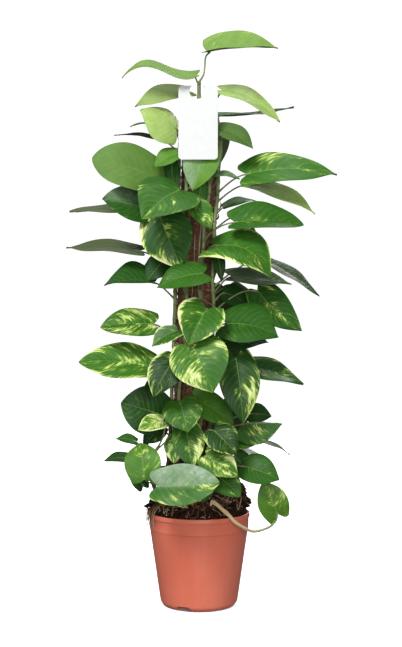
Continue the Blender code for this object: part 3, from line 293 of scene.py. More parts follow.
class Leaf:
    """A heart-shaped blade: its own frame of directions and the formula of its upper surface, in mm."""

    def __init__(self, name, stem, base, tip, width, face, fold=12, arch=0.09, bend=0.0, skew=0.0,
                 lobe=LOBE, taper=TAPER, number=0, plain=False):
        self.name = name
        self.stem = stem
        self.base = base
        self.width = width
        self.length = (tip - base).length
        self.axis = (tip - base).normalized()
        look = Vector(face)
        self.up = (look - self.axis * look.dot(self.axis)).normalized()
        self.side = self.up.cross(self.axis)
        self.fold = math.radians(fold)
        self.arch = arch
        self.bend = bend
        self.skew = skew
        self.lobe = lobe
        self.phase = WAVE_LEAF_SHIFT * number
        self.taper = taper
        self.fill = SLIM_FILL + FILL_GAIN * (SLIM_TAPER - taper)
        middle = (1 - taper * self.fill) / (1 + taper)
        self.widest = (1 - middle) ** taper * (middle + self.fill)
        self.plain = plain or width < SMALL_BLADE

    def outline(self, u):
        """Half width at u from stalk (0) to tip (1), as a share of the widest."""
        return (1 - u) ** self.taper * (u + self.fill) / self.widest

    def point(self, u, v):
        """Point of the blade at u along and v across, from -1 at one edge to 1 at the other."""
        half = self.width / 2 * self.outline(u)
        back = self.lobe * (1 - u) ** 3 * math.sin(LOBE_CURL * math.pi * abs(v))
        t = u - back
        bow = 4 * t * (1 - t) * (1 + self.skew * (2 * t - 1))
        rise = self.arch * bow * self.length
        rise += half * abs(v) * math.sin(self.fold)
        rise -= CUP * half * v * v
        shift = self.phase + (WAVE_EDGE_SHIFT if v > 0 else 0)
        rise += WAVE * self.length * v * v * math.sin(WAVE_TURNS * u + shift)
        sideways = half * v * math.cos(self.fold) + self.bend * bow * self.length
        return self.base + self.axis * (t * self.length) + self.side * sideways + self.up * rise

    def surface(self):
        """Points and triangles of the blade as an open surface."""
        along = ALONG_PLAIN if self.plain else ALONG
        across = ACROSS_PLAIN if self.plain else ACROSS
        points = [self.point(u, v) for u in along[:-1] for v in across]
        points.append(self.point(1.0, 0.0))
        last = len(points) - 1
        columns = len(across)
        triangles = []
        for row in range(len(along) - 2):
            for column in range(columns - 1):
                a = row * columns + column
                b = a + 1
                c = b + columns
                d = a + columns
                if column < columns // 2:
                    triangles += [(a, b, c), (a, c, d)]
                else:
                    triangles += [(a, b, d), (b, c, d)]
        first = (len(along) - 2) * columns
        for column in range(columns - 1):
            triangles.append((first + column, first + column + 1, last))
        return points, triangles

    def solid(self, thickness):
        """Points and triangles of the blade's two faces, for testing what it crosses."""
        points, triangles = self.surface()
        half = self.up * (thickness / 2)
        count = len(points)
        both = [p + half for p in points] + [p - half for p in points]
        under = [(a + count, c + count, b + count) for a, b, c in triangles]
        return both, triangles + under


def leaf_by_hand(number, row):
    """A Leaf from one row of the list."""
    name, stem, base, tip, width, face, more = row
    return Leaf(name, stem, seen(*base), seen(*tip), width, face, number=number, **more)


def smooth_line(points, step):
    """Points every step or so along a Catmull-Rom curve through the given ones."""
    ends = [2 * points[0] - points[1]] + points + [2 * points[-1] - points[-2]]
    line = []
    for i in range(1, len(ends) - 2):
        p0, p1, p2, p3 = ends[i - 1:i + 3]
        pieces = max(1, round((p2 - p1).length / step))
        for k in range(pieces):
            t = k / pieces
            line.append(0.5 * (2 * p1 + (p2 - p0) * t + (2 * p0 - 5 * p1 + 4 * p2 - p3) * t ** 2
                               + (3 * p1 - p0 - 3 * p2 + p3) * t ** 3))
    line.append(points[-1])
    return line


def climbing_stem(side, sway, turn, top):
    """Route of a stem: straight out of the soil, up against the pole, and off its top."""
    route = []
    out = polar(math.radians(side))
    foot = pole_axis(STEM_STRAIGHT_TOP) + out * STEM_SOIL_DISTANCE
    for z in (STEM_FOOT, STEM_STRAIGHT_TOP - STEM_STEP, STEM_STRAIGHT_TOP):
        route.append(Vector((foot.x, foot.y, z)))
    close = POLE_RADIUS + STEM_RADIUS + STEM_CLEARANCE
    z = STEM_JOINS_POLE
    while z < POLE_TOP - STEM_STEP:
        grown = min(1.0, (z - STEM_JOINS_POLE) / SWAY_START)
        angle = math.radians(side + sway * grown * math.sin(z / SWAY_WAVE + turn))
        route.append(pole_axis(z) + polar(angle) * close)
        z += STEM_STEP
    return route + smooth_line([Vector(p) for p in top], STEM_STEP)


def pot_inner_radius(z):
    """Radius of the pot's inner wall at a height."""
    if z >= POT_SKIRT_BOTTOM + POT_WALL:
        return POT_SKIRT_RADIUS - POT_WALL
    share = (z - POT_CORNER) / (POT_SKIRT_BOTTOM - POT_CORNER)
    return POT_FOOT_RADIUS + (POT_WALL_TOP_RADIUS - POT_FOOT_RADIUS) * share - POT_WALL


def heap_height(x, y):
    """How much the root heaps raise the soil at a place, in mm."""
    return sum(height * math.exp(-((x - at_x) ** 2 + (y - at_y) ** 2) / (2 * spread ** 2))
               for at_x, at_y, height, spread in SOIL_HEAPS)


def notch_centre():
    """Centre of the tag's hook notch."""
    return seen(TAG_NOTCH_SEEN[0], TAG_Y, TAG_NOTCH_SEEN[1])


def stem_routes():
    """Route of every stem, in mm. The front right one passes through the tag's notch, near its lower edge."""
    routes = {name: climbing_stem(**climber) for name, climber in CLIMBERS.items()}
    routes["vine_front_right"] += [notch_centre() + Vector(step) for step in HOOK_STEPS]
    for name, points in LOW_STEMS.items():
        foot = Vector(points[0])
        routes[name] = [foot] + smooth_line([Vector(p) for p in points[1:]], LOW_STEM_STEP)
    return routes


def on_stem(route, z):
    """Point of a stem at a height, or its end if it stops lower."""
    for low, high in zip(route, route[1:]):
        if low.z <= z <= high.z:
            return low.lerp(high, (z - low.z) / (high.z - low.z))
    return route[-1]


def stalk_route(start, leaf, spread):
    """A stalk as a curve that leaves the stem outwards and upwards and meets the blade from below."""
    end = leaf.point(STALK_IN_BLADE / leaf.length, 0)
    reach = (end - start).length
    outward = Vector((end.x - start.x, end.y - start.y, 0))
    away = Vector((start.x - pole_axis(start.z).x, start.y, 0))
    if away.length < 2 * POLE_RADIUS and start.z < POLE_TOP:
        outward = outward.normalized() + away.normalized() * STALK_ROUND_POLE
    if outward.length < 0.01:
        outward = away
    leave = outward.normalized() * STALK_LEAVES[0] + Vector((0, 0, STALK_LEAVES[1])) + leaf.side * spread
    along, above, straight = STALK_ARRIVES
    arrive = leaf.axis * along + leaf.up * above + (end - start).normalized() * straight
    second = start + leave * reach
    third = end - arrive.normalized() * STALK_ARRIVAL * reach
    route = []
    for i in range(STALK_STEPS + 1):
        t = i / STALK_STEPS
        s = 1 - t
        route.append(start * s ** 3 + second * (3 * s * s * t) + third * (3 * s * t * t) + end * t ** 3)
    return route


def wall(rings, sides):
    """Faces between rings of points that follow each other."""
    faces = []
    for i in range(rings - 1):
        for k in range(sides):
            a = i * sides + k
            b = i * sides + (k + 1) % sides
            faces.append((a, b, b + sides, a + sides))
    return faces


def halved(faces):
    """Four-sided faces as triangles."""
    return [half for a, b, c, d in faces for half in ((a, b, c), (a, c, d))]


def tube_solid(route, radius, sides=5):
    """Points and triangles of a plain tube round a route, for testing what it crosses."""
    points = []
    for i, centre in enumerate(route):
        ahead = (route[min(i + 1, len(route) - 1)] - route[max(i - 1, 0)]).normalized()
        first = ahead.orthogonal().normalized()
        second = ahead.cross(first)
        for k in range(sides):
            angle = 2 * math.pi * k / sides
            points.append(centre + (first * math.cos(angle) + second * math.sin(angle)) * radius)
    return points, halved(wall(len(route), sides))


class Room:
    """What already stands somewhere, so that the next stalk or blade is put clear of it."""

    def __init__(self):
        self.things = []

    def add(self, owner, name, shape):
        self.things.append((owner, name, BVHTree.FromPolygons(*shape)))

    def crossed(self, owner, shape, own_too=False):
        """Names of the things of other owners, or of all owners, that a shape crosses."""
        tree = BVHTree.FromPolygons(*shape)
        return [name for other, name, thing in self.things
                if (own_too or other != owner) and tree.overlap(thing)]


def tag_shape():
    """The tag's flat outline as a coarse panel, for testing what crosses it."""
    centre = notch_centre()
    top = centre.z + TAG_NOTCH_DEPTH
    left = centre.x + TAG_NOTCH_SIDE - TAG_WIDTH / 2
    drop = TAG_HEIGHT * math.cos(TAG_LEAN)
    forward = TAG_HEIGHT * math.sin(TAG_LEAN)
    low = centre.z - TAG_NOTCH_RADIUS
    start = TAG_Y - (top - low) * math.tan(TAG_LEAN)
    right = left + TAG_WIDTH
    front = TAG_Y - forward
    bottom = top - drop
    points = [Vector((left, start, low)), Vector((right, start, low)), Vector((right, front, bottom)),
              Vector((left, front, bottom))]
    return points, [(0, 1, 2), (0, 2, 3)]


def cone_solid(rings, sides=24):
    """Points and triangles of a turned wall with a flat top, from (radius, height, centre x) rings."""
    points = []
    for radius, z, x in rings:
        for k in range(sides):
            angle = 2 * math.pi * k / sides
            points.append(Vector((x + radius * math.cos(angle), radius * math.sin(angle), z)))
    return points, halved(wall(len(rings), sides))


def filled_room(routes):
    """The pot, the soil, the pole, the tag and the stems as things to keep clear of."""
    room = Room()
    top = POT_HEIGHT + 1
    pot = [(POT_RIM_RADIUS, POT_TEST_BOTTOM, 0), (POT_RIM_RADIUS + 1, top, 0), (POT_TEST_INNER, top, 0)]
    room.add("pot", "pot", cone_solid(pot))
    inner = pot_inner_radius(POT_HEIGHT) - GAP
    mound = [(max(1, share * inner), z + SOIL_LUMP + 1, 0) for share, z in SOIL_MOUND]
    points, triangles = cone_solid(mound)
    for point in points:
        point.z += heap_height(point.x, point.y)
    room.add("soil", "soil", (points, triangles))
    pole = [(POLE_RADIUS + 0.5, z, pole_axis(z).x) for z in range(STEM_STRAIGHT_TOP, POLE_TOP + 1, 40)]
    pole.append((1, POLE_TOP + 0.5, pole_axis(POLE_TOP).x))
    room.add("pole", "pole", cone_solid(pole))
    room.add("tag", "tag", tag_shape())
    for name, route in routes.items():
        room.add(name, name + " stem", tube_solid(route, STEM_RADIUS + 0.7))
    return room


def clear_stalk(room, leaf, route):
    """The first stalk route that is clear of what belongs to other stems, and what the best one crosses."""
    reach = (Vector((leaf.base.x, leaf.base.y, 0)) - Vector((pole_axis(leaf.base.z).x, 0, 0))).length
    best = None
    for share in STALK_STARTS:
        for spread in STALK_SPREADS:
            start = on_stem(route, max(STALK_LOWEST, leaf.base.z - share * reach))
            stalk = stalk_route(start, leaf, spread)
            crossed = room.crossed(leaf.stem, tube_solid(stalk[1:], STALK_TEST_RADIUS))
            if not crossed:
                return stalk, crossed
            if best is None or len(crossed) < len(best[1]):
                best = (stalk, crossed)
    return best


def back_leaf(rng, number, stem, height):
    """One leaf behind the pole: drawn at random, pointing away from it, its upper side up and out."""
    side = CLIMBERS[stem]["side"]
    heading = math.radians(side + (1 if number % 4 < 2 else -1) * rng.uniform(0, BACK_TURN))
    out = polar(heading)
    length = rng.uniform(*BACK_LENGTH)
    drop = math.radians(rng.uniform(*BACK_DROP))
    base = pole_axis(height) + out * rng.uniform(*BACK_DISTANCE)
    aside = Vector((-out.y, out.x, 0)) * rng.uniform(-BACK_ASIDE, BACK_ASIDE)
    tip = base + (out * math.cos(drop) + aside - Vector((0, 0, math.sin(drop)))) * length
    face = out * 0.5 + Vector((0, 0, 0.85)) + aside * 1.5
    width = length * rng.uniform(*BACK_WIDTH)
    return Leaf(f"back_{number}", stem, base, tip, width, face, number=number, plain=True)


def exposed(leaf, screen):
    """Share of the blade's points that the eye sees past what stands in front of it."""
    points = [leaf.point(u, v) for u in ALONG for v in (-1, 0, 1)]
    open_points = 0
    for point in points:
        sight = point - EYE
        hit = screen.ray_cast(EYE, sight.normalized(), sight.length - 1)
        open_points += hit[0] is None
    return open_points / len(points)


def screen_of(shapes):
    """One tree of several shapes, for finding what hides behind them."""
    points = []
    triangles = []
    for shape_points, shape_triangles in shapes:
        first = len(points)
        points += shape_points
        triangles += [tuple(first + k for k in triangle) for triangle in shape_triangles]
    return BVHTree.FromPolygons(points, triangles)


def grow():
    """Every leaf with its stalk: the listed ones first, then the seeded ones at the back, all kept clear."""
    routes = stem_routes()
    room = filled_room(routes)
    leaves = [leaf_by_hand(number, row) for number, row in enumerate(LEAVES)]
    for leaf in leaves:
        room.add(leaf.stem, leaf.name, leaf.solid(BLADE_THICKNESS))
    stalks = {}
    for leaf in leaves:
        stalks[leaf.name] = clear_stalk(room, leaf, routes[leaf.stem])[0]
        room.add(leaf.stem, leaf.name + " stalk", tube_solid(stalks[leaf.name], STALK_RADIUS))
    pole = [(POLE_RADIUS + 5, z, pole_axis(z).x) for z in (60, POLE_TOP)]
    screen = screen_of([leaf.surface() for leaf in leaves] + [cone_solid(pole), tag_shape()])
    rng = random.Random(BACK_SEED)
    number = 0
    for height in range(BACK_LOWEST, BACK_HIGHEST, BACK_STEP):
        for stem in BACK_STEMS:
            number += 1
            for _ in range(BACK_TRIES):
                leaf = back_leaf(rng, number, stem, height + rng.uniform(0, BACK_STEP))
                points = leaf.surface()[0]
                wide = max(abs(p.x) for p in points)
                deep = max(p.y for p in points)
                if wide > BACK_HALF_WIDTH or deep > BACK_REACH or exposed(leaf, screen) > BACK_EXPOSED:
                    continue
                if room.crossed(stem, leaf.solid(BLADE_TEST_MARGIN), own_too=True):
                    continue
                stalk, crossed = clear_stalk(room, leaf, routes[stem])
                if crossed:
                    continue
                leaves.append(leaf)
                stalks[leaf.name] = stalk
                room.add(stem, leaf.name, leaf.solid(BLADE_THICKNESS))
                room.add(stem, leaf.name + " stalk", tube_solid(stalk, STALK_RADIUS))
                break
    return routes, leaves, stalks


# Finish of each leaf: tone from dark (0) to pale green (1), partly the leaf's own tone and partly painted
# light and shade, lower for leaves in the shade of others and higher for some under a cast shadow; share of
# cream, which half has more cream (-1 to 1, 1 being the side that point() calls positive), and how far the
# margin is cream. The last two are 0 where they are left off.
LOOKS = {
    "a1": (0.78, 0.34, 0.3), "a2": (0.79, 0.22), "a3": (0.95, 0.12), "a4": (0.99, 0.24), "a5": (0.45, 0.1),
    "a6": (0.15, 0.05), "a7": (0.96, 0.24), "a8": (0.4, 0.1), "a9": (0.55, 0.12), "b1": (0.64, 0.08),
    "b2": (0.62, 0.2), "b3": (0.66, 0.1, 0.0, 0.2), "b4": (0.4, 0.15), "b5": (0.45, 0.1),
    "b6": (0.46, 0.34, 0.2), "b7": (0.92, 0.3), "b8": (0.45, 0.1), "b9": (0.4, 0.22),
    "b10": (0.46, 0.34, -0.3, 0.5), "b11": (0.25, 0.05), "b12": (0.25, 0.05), "c1": (0.3, 0.2),
    "c2": (0.1, 0.1), "c3": (0.38, 0.3, 0.0, 0.2), "c4": (0.16, 0.1), "c5": (0.28, 0.16),
    "c6": (0.28, 0.38, -0.6, 0.4), "c7": (0.44, 0.24, 0.0, 0.1), "c8": (0.45, 0.35, 0.3),
    "c9": (0.22, 0.08), "d1": (0.26, 0.3), "d2": (0.3, 0.15), "d3": (0.3, 0.36), "d4": (0.2, 0.1),
    "d5": (0.34, 0.2), "d6": (0.44, 0.33, 0.0, 0.5), "d7": (0.44, 0.4, -0.3, 0.2), "d8": (0.2, 0.1),
    "e1": (0.4, 0.45, 0.3), "e2": (0.36, 0.3, 0.0, 0.6), "e3": (0.5, 0.45, 0.0, 0.2),
    "e4": (0.06, 0.3, -0.3, 0.3), "e5": (0.26, 0.32, 0.3), "e6": (0.18, 0.32, 0.4, 0.1), "e7": (0.55, 0.22),
    "f1": (0.2, 0.22, 0.2), "f2": (0.6, 0.62, 0.0, 0.4), "f3": (0.42, 0.36, 0.3), "f4": (0.36, 0.42, 0.5),
    "f5": (0.42, 0.52, 0.0, 0.2), "f6": (0.2, 0.15), "f7": (0.32, 0.34, 0.0, 0.2), "f8": (0.36, 0.2),
    "f9": (0.1, 0.3, 0.0, 0.3), "f10": (0.4, 0.3, 0.0, 0.2), "f11": (0.2, 0.2), "g1": (0.58, 0.32),
    "g2": (0.45, 0.36, -0.4), "g3": (0.4, 0.5, 0.0, 0.8), "g4": (0.38, 0.2), "g5": (0.42, 0.5, 0.4),
    "g6": (0.38, 0.24), "g7": (0.36, 0.24), "g8": (0.6, 0.4), "g9": (0.2, 0.15), "g10": (0.32, 0.2),
    "g11": (0.26, 0.2), "g12": (0.32, 0.22),
}

# Bounds of the same four for a leaf that isn't listed, their seed, and the sheen of dry matter
LOOKS_DRAWN = ((0.2, 0.55), (0.1, 0.45), (-0.5, 0.5), (0, 0.4))
LOOK_SEED = 31
DRY_SHEEN = 0.12

# Leaves with a painted sheen: a grey reflection painted over the half turned up, from none (0) to a full one
# (1)
PAINTED_SHEENS = {"b3": 0.65, "b5": 0.5, "b8": 0.6, "c1": 0.4, "d1": 0.3, "e2": 0.3, "f10": 0.4, "g2": 0.9}

# Leaves whose upper side is as dull as an underside, as a share
DULL = {"a1": 0.35, "a2": 0.45, "a3": 0.45, "a5": 0.5, "a6": 0.3, "a8": 0.6, "a9": 0.6, "b1": 0.45,
        "c2": 1.0, "c4": 1.0, "d1": 0.3, "d2": 0.45, "f8": 0.7}

# Finer detail of the pieces seen
FINE_ALONG = 24
FINE_ACROSS = 14
FINE_THICKNESS = 0.7
LATERAL_VEINS = 9
QUILT = 0.5
CRUMPLE = 0.028
LINE_STEP = 4
STEM_SIDES = 10
STEM_BARE = 0.93
STEM_NODE_STEP = 46
NODE_SWELL = 0.22
NODE_LENGTH = 3.2
ZIGZAG = 1.8
STALK_SIDES = 8
STALK_BARE = 0.92
SHEATH_COUNT = 4
SHEATH_HEIGHTS = (320, 740)
SHEATH_ROOT = 0.45
AERIAL_STEP = 23
AERIAL_STEPS = 6
STRAND_COUNT = 26
STRAND_STEPS = 8
COIR_FINE_SEGMENTS = 96
COIR_FINE_RINGS = 190
FIBRE_COUNT = 1300
FIBRE_BOTTOM = 190
FIBRE_STEPS = 6
NET_BOTTOM = 196
NET_STEPS = 190
NET_TURNS = 7
NET_THREADS = 8
NET_THREAD_RADIUS = 0.4
SOIL_RINGS = 44
SOIL_SIDES = 150
SOIL_COVER = 1.5
CHUNK_COUNT = 430
HEAP_CRUMBS = 90
ROOT_BALL_OVERHANG = 0.6
SOIL_ROOTS = 150
RIM_ROOTS = 26
BALL_ROOTS = 70
ROOT_STEP = 3
POT_TURN_STEPS = 144

# Studio, in metres: a floor that curves up into a wall all round
FLOOR_RADIUS = 9.0
FLOOR_CURVE = 3.0
FLOOR_HEIGHT = 9.0
FLOOR_GLOW = 0.9
AMBIENT = 0.19
LIGHTS_AIM = Vector((0, 0, 0.45))

# Camera: the photograph's viewpoint, level, with the lens that gives its scale at the pot's axis
FRAME_WIDTH = 402
MM_PER_PIXEL = 1.68
SENSOR_WIDTH = 36
CAMERA_X = 0.0034


class Nodes:
    """A Principled material whose nodes are added by short calls that give back the new output."""

    def __init__(self, name, roughness=0.5):
        self.material = bpy.data.materials.new(name)
        self.material.use_nodes = True
        self.tree = self.material.node_tree
        self.shader = self.tree.nodes["Principled BSDF"]
        self.shader.inputs["Roughness"].default_value = roughness

    def put(self, value, socket):
        if isinstance(value, bpy.types.NodeSocket):
            self.tree.links.new(value, socket)
        else:
            socket.default_value = value

    def node(self, kind, inputs, **settings):
        node = self.tree.nodes.new(kind)
        for key, value in settings.items():
            setattr(node, key, value)
        for key, value in inputs.items():
            self.put(value, node.inputs[key])
        return node

    def value(self, name):
        """A value stored on the mesh's points."""
        return self.node("ShaderNodeAttribute", {}, attribute_name=name).outputs["Fac"]

    def place(self):
        return self.node("ShaderNodeTexCoord", {}).outputs["Object"]

    def math(self, operation, *values, clamp=False):
        inputs = {i: value for i, value in enumerate(values)}
        return self.node("ShaderNodeMath", inputs, operation=operation, use_clamp=clamp).outputs[0]

    def times(self, first, second):
        return self.math("MULTIPLY", first, second)

    def plus(self, first, second):
        return self.math("ADD", first, second)

    def scaled(self, vector, x, y, z):
        inputs = {"Vector": vector, "Scale": (x, y, z)}
        return self.node("ShaderNodeMapping", inputs).outputs[0]

    def vector(self, x, y, z):
        return self.node("ShaderNodeCombineXYZ", {"X": x, "Y": y, "Z": z}).outputs[0]

    def noise(self, vector, scale, detail=2.0, roughness=0.5, distortion=0.0):
        inputs = {"Vector": vector, "Scale": scale, "Detail": detail, "Roughness": roughness,
                  "Distortion": distortion}
        return self.node("ShaderNodeTexNoise", inputs).outputs[0]

    def step(self, value, low, high, to_low=0.0, to_high=1.0):
        """A smooth step from one value to another as the input goes from low to high."""
        inputs = {"Value": value, "From Min": low, "From Max": high, "To Min": to_low, "To Max": to_high}
        return self.node("ShaderNodeMapRange", inputs, interpolation_type="SMOOTHSTEP").outputs[0]

    def ramp(self, value, stops):
        node = self.node("ShaderNodeValToRGB", {"Fac": value})
        elements = node.color_ramp.elements
        while len(elements) < len(stops):
            elements.new(1.0)
        for element, (position, colour) in zip(elements, stops):
            element.position = position
            element.color = (*colour, 1)
        return node.outputs["Color"]

    def mix(self, share, first, second, blend="MIX"):
        node = self.node("ShaderNodeMix", {}, data_type="RGBA", blend_type=blend)
        self.put(share, node.inputs[0])
        for value, socket in ((first, node.inputs[6]), (second, node.inputs[7])):
            self.put((*value, 1) if isinstance(value, tuple) else value, socket)
        return node.outputs[2]

    def bump(self, height, strength, distance):
        inputs = {"Height": height, "Strength": strength, "Distance": distance}
        self.put(self.node("ShaderNodeBump", inputs).outputs[0], self.shader.inputs["Normal"])

    def finish(self, colour, roughness=None, **fixed):
        """Link the colour and roughness, set the fixed inputs and give back the material."""
        self.put(colour, self.shader.inputs["Base Color"])
        if roughness is not None:
            self.put(roughness, self.shader.inputs["Roughness"])
        for key, value in fixed.items():
            self.shader.inputs[key.replace("_", " ")].default_value = value
        return self.material


def leaf_material():
    """Waxy variegated blade: streaks of cream that follow the side veins, pale midrib, duller underside."""
    n = Nodes("pothos_blade")
    along = n.value("along")
    across = n.value("across")
    side = n.math("ABSOLUTE", across)
    half = n.math("SIGN", across)
    seed = n.value("seed")
    cream = n.value("cream")
    margin = n.value("margin")
    vein = n.math("SUBTRACT", along, n.times(side, n.math("MULTIPLY_ADD", side, 0.12, 0.24)))
    fine = n.noise(n.vector(n.times(vein, 24.0), n.math("MULTIPLY_ADD", half, 3.1, n.times(
        side, 3.2)), n.times(seed, 11.0)), 1.0, 4.0, 0.62)
    broad = n.noise(n.vector(n.times(vein, 3.6), n.math("MULTIPLY_ADD", half, 1.7, n.times(
        side, 1.3)), n.times(seed, 5.0)), 1.0, 1.0)
    amount = n.plus(n.times(fine, 0.6), n.times(broad, 0.6))
    amount = n.plus(amount, n.times(n.times(n.value("lean"), across), 0.14))
    amount = n.plus(amount, n.times(cream, 0.55))
    edge = n.times(n.step(n.plus(side, n.times(fine, 0.25)), 0.9, 1.08), margin)
    amount = n.plus(amount, n.times(edge, 0.35))
    streak = n.step(amount, 0.88, 0.96)
    halo = n.step(amount, 0.78, 0.91)

    lateral = n.math("PINGPONG", n.math("MULTIPLY_ADD", vein, LATERAL_VEINS, n.times(half, 0.2)), 0.5)
    vein_line = n.step(lateral, 0.0, 0.20, 1.0, 0.0)
    vein_line = n.times(vein_line, n.step(side, 0.92, 0.6))
    rib_width = n.math("MULTIPLY_ADD", along, -1.0, 1.25)
    rib = n.step(n.math("DIVIDE", n.value("off_rib"), rib_width), 0.35, 1.0, 1.0, 0.0)

    mottle = n.noise(n.place(), 60.0, 2.0)
    # Green by the leaf's tone value, which also carries painted shade for leaves shaded by others and painted
    # light for some
    green = n.ramp(n.value("shade"), [
        (0.0, (0.006, 0.032, 0.006)), (0.25, (0.015, 0.074, 0.009)), (0.5, (0.040, 0.155, 0.013)),
        (0.75, (0.130, 0.29, 0.028)), (1.0, (0.37, 0.51, 0.15)),
    ])
    green = n.mix(n.times(n.step(mottle, 0.35, 0.7), 0.35), green, (0.5, 0.62, 0.4), "MULTIPLY")
    pale = n.mix(0.5, green, (0.30, 0.48, 0.07))
    colour = n.mix(n.times(vein_line, 0.16), green, pale)
    colour = n.mix(n.times(halo, 0.45), colour, pale)
    # Pale flecks: partly specks of variegation and partly painted glints
    fleck = n.step(n.noise(n.place(), 260.0, 3.0, 0.6), 0.64, 0.76)
    fleck = n.times(fleck, n.step(broad, 0.4, 0.7))
    colour = n.mix(n.times(fleck, n.times(cream, 1.1)), colour, (0.40, 0.54, 0.19))
    colour = n.mix(n.times(streak, 0.94), colour, n.mix(
        n.step(amount, 0.92, 1.08), (0.44, 0.60, 0.12), (0.82, 0.84, 0.45)))
    colour = n.mix(n.times(rib, 0.42), colour, (0.26, 0.40, 0.10))
    # Painted sheen: a grey reflection painted in clouds over the upturned half of the listed leaves, fainter
    # on the side veins
    cloudy = n.step(n.noise(n.place(), 55.0, 4.0, 0.65), 0.3, 0.75, 0.35, 1.0)
    bloom = n.times(n.times(n.value("bloom"), cloudy), n.math(
        "MULTIPLY_ADD", vein_line, -0.3, 1.0))
    colour = n.mix(bloom, colour, (0.36, 0.47, 0.33))
    colour = n.mix(n.times(n.value("under"), 0.7), colour, (0.105, 0.125, 0.062))
    colour = n.mix(n.value("dry"), colour, n.mix(fine, (0.05, 0.022, 0.008), (0.26, 0.15, 0.07)))

    height = n.plus(n.times(vein_line, -0.7), n.times(rib, -1.0))
    height = n.plus(height, n.times(n.noise(n.place(), 420.0, 2.0), 0.35))
    height = n.plus(height, n.times(fine, 0.3))
    n.bump(height, 0.3, 0.0008)
    rough = n.math("MULTIPLY_ADD", n.noise(n.place(), 35.0, 2.0), 0.2, 0.36)
    rough = n.plus(rough, n.times(n.value("under"), 0.2))
    rough = n.plus(rough, n.times(n.value("dry"), 0.35))
    return n.finish(colour, rough, Specular_IOR_Level=0.2)


def stem_material():
    """Green stems and stalks: brown rings at the nodes, long streaks, browner towards the soil."""
    n = Nodes("pothos_stem")
    run = n.value("run")
    woody = n.value("woody")
    streaks = n.noise(n.scaled(n.place(), 300, 300, 22), 1.0, 3.0, 0.6)
    patches = n.noise(n.place(), 28.0, 2.0)
    green = n.mix(streaks, (0.10, 0.16, 0.045), (0.30, 0.34, 0.15))
    brown = n.mix(streaks, (0.075, 0.042, 0.02), (0.27, 0.18, 0.095))
    ring = n.math("PINGPONG", n.math("DIVIDE", run, STEM_NODE_STEP), 0.5)
    ring = n.times(n.step(ring, 0.46, 0.495), n.value("ringed"))
    browned = n.times(n.step(n.plus(n.times(patches, 0.6), woody), 0.5, 0.9), 0.8)
    colour = n.mix(browned, green, brown)
    colour = n.mix(n.times(ring, 0.85), colour, (0.11, 0.065, 0.035))
    colour = n.mix(n.value("pale"), colour, n.mix(streaks, (0.60, 0.40, 0.19), (0.90, 0.74, 0.46)))
    height = n.plus(streaks, n.times(ring, -0.8))
    n.bump(height, 0.4, 0.0006)
    rough = n.math("MULTIPLY_ADD", patches, 0.25, 0.36)
    return n.finish(colour, rough)


def root_material():
    """Thin roots: pale tan to brown from strand to strand."""
    n = Nodes("plant_root")
    colour = n.ramp(n.value("tint"), [(0.0, (0.035, 0.014, 0.008)), (0.4, (0.16, 0.07, 0.035)),
                                      (0.75, (0.42, 0.27, 0.15)), (1.0, (0.70, 0.60, 0.42))])
    grain = n.noise(n.place(), 500.0, 3.0)
    n.bump(grain, 0.4, 0.0004)
    return n.finish(n.mix(n.times(grain, 0.5), colour, (0.45, 0.38, 0.3), "MULTIPLY"), 0.8)


def coir_material():
    """Matted coir: reddish-brown fibre in all directions, with painted shade in the hollows."""
    n = Nodes("coir_mat")
    level = n.noise(n.scaled(n.place(), 1, 1, 1.6), 130.0, 4.0, 0.65, 1.2)
    strands = n.noise(n.scaled(n.place(), 1, 1, 5), 260.0, 4.0, 0.7, 2.5)
    patches = n.noise(n.place(), 22.0, 2.0)
    # Colour from the same noise as the bump, so the low hollows get painted shade, near black, among the
    # fibres' own browns
    colour = n.ramp(n.math("MULTIPLY_ADD", strands, 0.6, n.times(level, 0.4)), [
        (0.28, (0.030, 0.013, 0.006)), (0.42, (0.15, 0.066, 0.026)), (0.55, (0.32, 0.155, 0.065)),
        (0.72, (0.56, 0.33, 0.16)),
    ])
    colour = n.mix(n.step(patches, 0.45, 0.65, 0.0, 0.5), colour, (0.55, 0.42, 0.36), "MULTIPLY")
    n.bump(n.plus(strands, level), 0.9, 0.003)
    return n.finish(colour, 0.92)


def fibre_material():
    """Loose coir strands, each with its own brown."""
    n = Nodes("coir_fibre")
    colour = n.ramp(n.value("tint"), [(0.0, (0.06, 0.024, 0.012)), (0.45, (0.22, 0.10, 0.042)),
                                      (0.8, (0.40, 0.22, 0.10)), (1.0, (0.56, 0.37, 0.20))])
    speck = n.noise(n.place(), 700.0, 2.0)
    n.bump(speck, 0.3, 0.0003)
    return n.finish(n.mix(n.times(speck, 0.5), colour, (0.4, 0.33, 0.3), "MULTIPLY"), 0.85)


def net_material():
    """Dark polythene net thread."""
    n = Nodes("net_thread")
    wear = n.noise(n.place(), 180.0, 3.0)
    n.bump(wear, 0.2, 0.0002)
    return n.finish(n.mix(wear, (0.008, 0.014, 0.010), (0.035, 0.045, 0.03)), 0.5)


def soil_material():
    """Moist potting mix: dark crumbs with reddish bark and a few pale specks."""
    n = Nodes("potting_mix")
    crumbs = n.node("ShaderNodeTexVoronoi", {"Vector": n.place(), "Scale": 260.0})
    grain = n.noise(n.place(), 320.0, 4.0, 0.7)
    colour = n.ramp(grain, [(0.3, (0.008, 0.004, 0.002)), (0.5, (0.032, 0.014, 0.008)),
                            (0.62, (0.088, 0.034, 0.019)), (0.78, (0.21, 0.105, 0.06))])
    bits = n.step(crumbs.outputs["Distance"], 0.16, 0.05)
    rare = n.step(n.noise(n.place(), 90.0, 1.0), 0.58, 0.66)
    colour = n.mix(n.times(n.times(bits, rare), 0.7), colour, (0.36, 0.25, 0.17))
    height = n.plus(grain, n.times(crumbs.outputs["Distance"], 1.2))
    n.bump(height, 1.0, 0.004)
    return n.finish(colour, 0.95, Specular_IOR_Level=DRY_SHEEN)


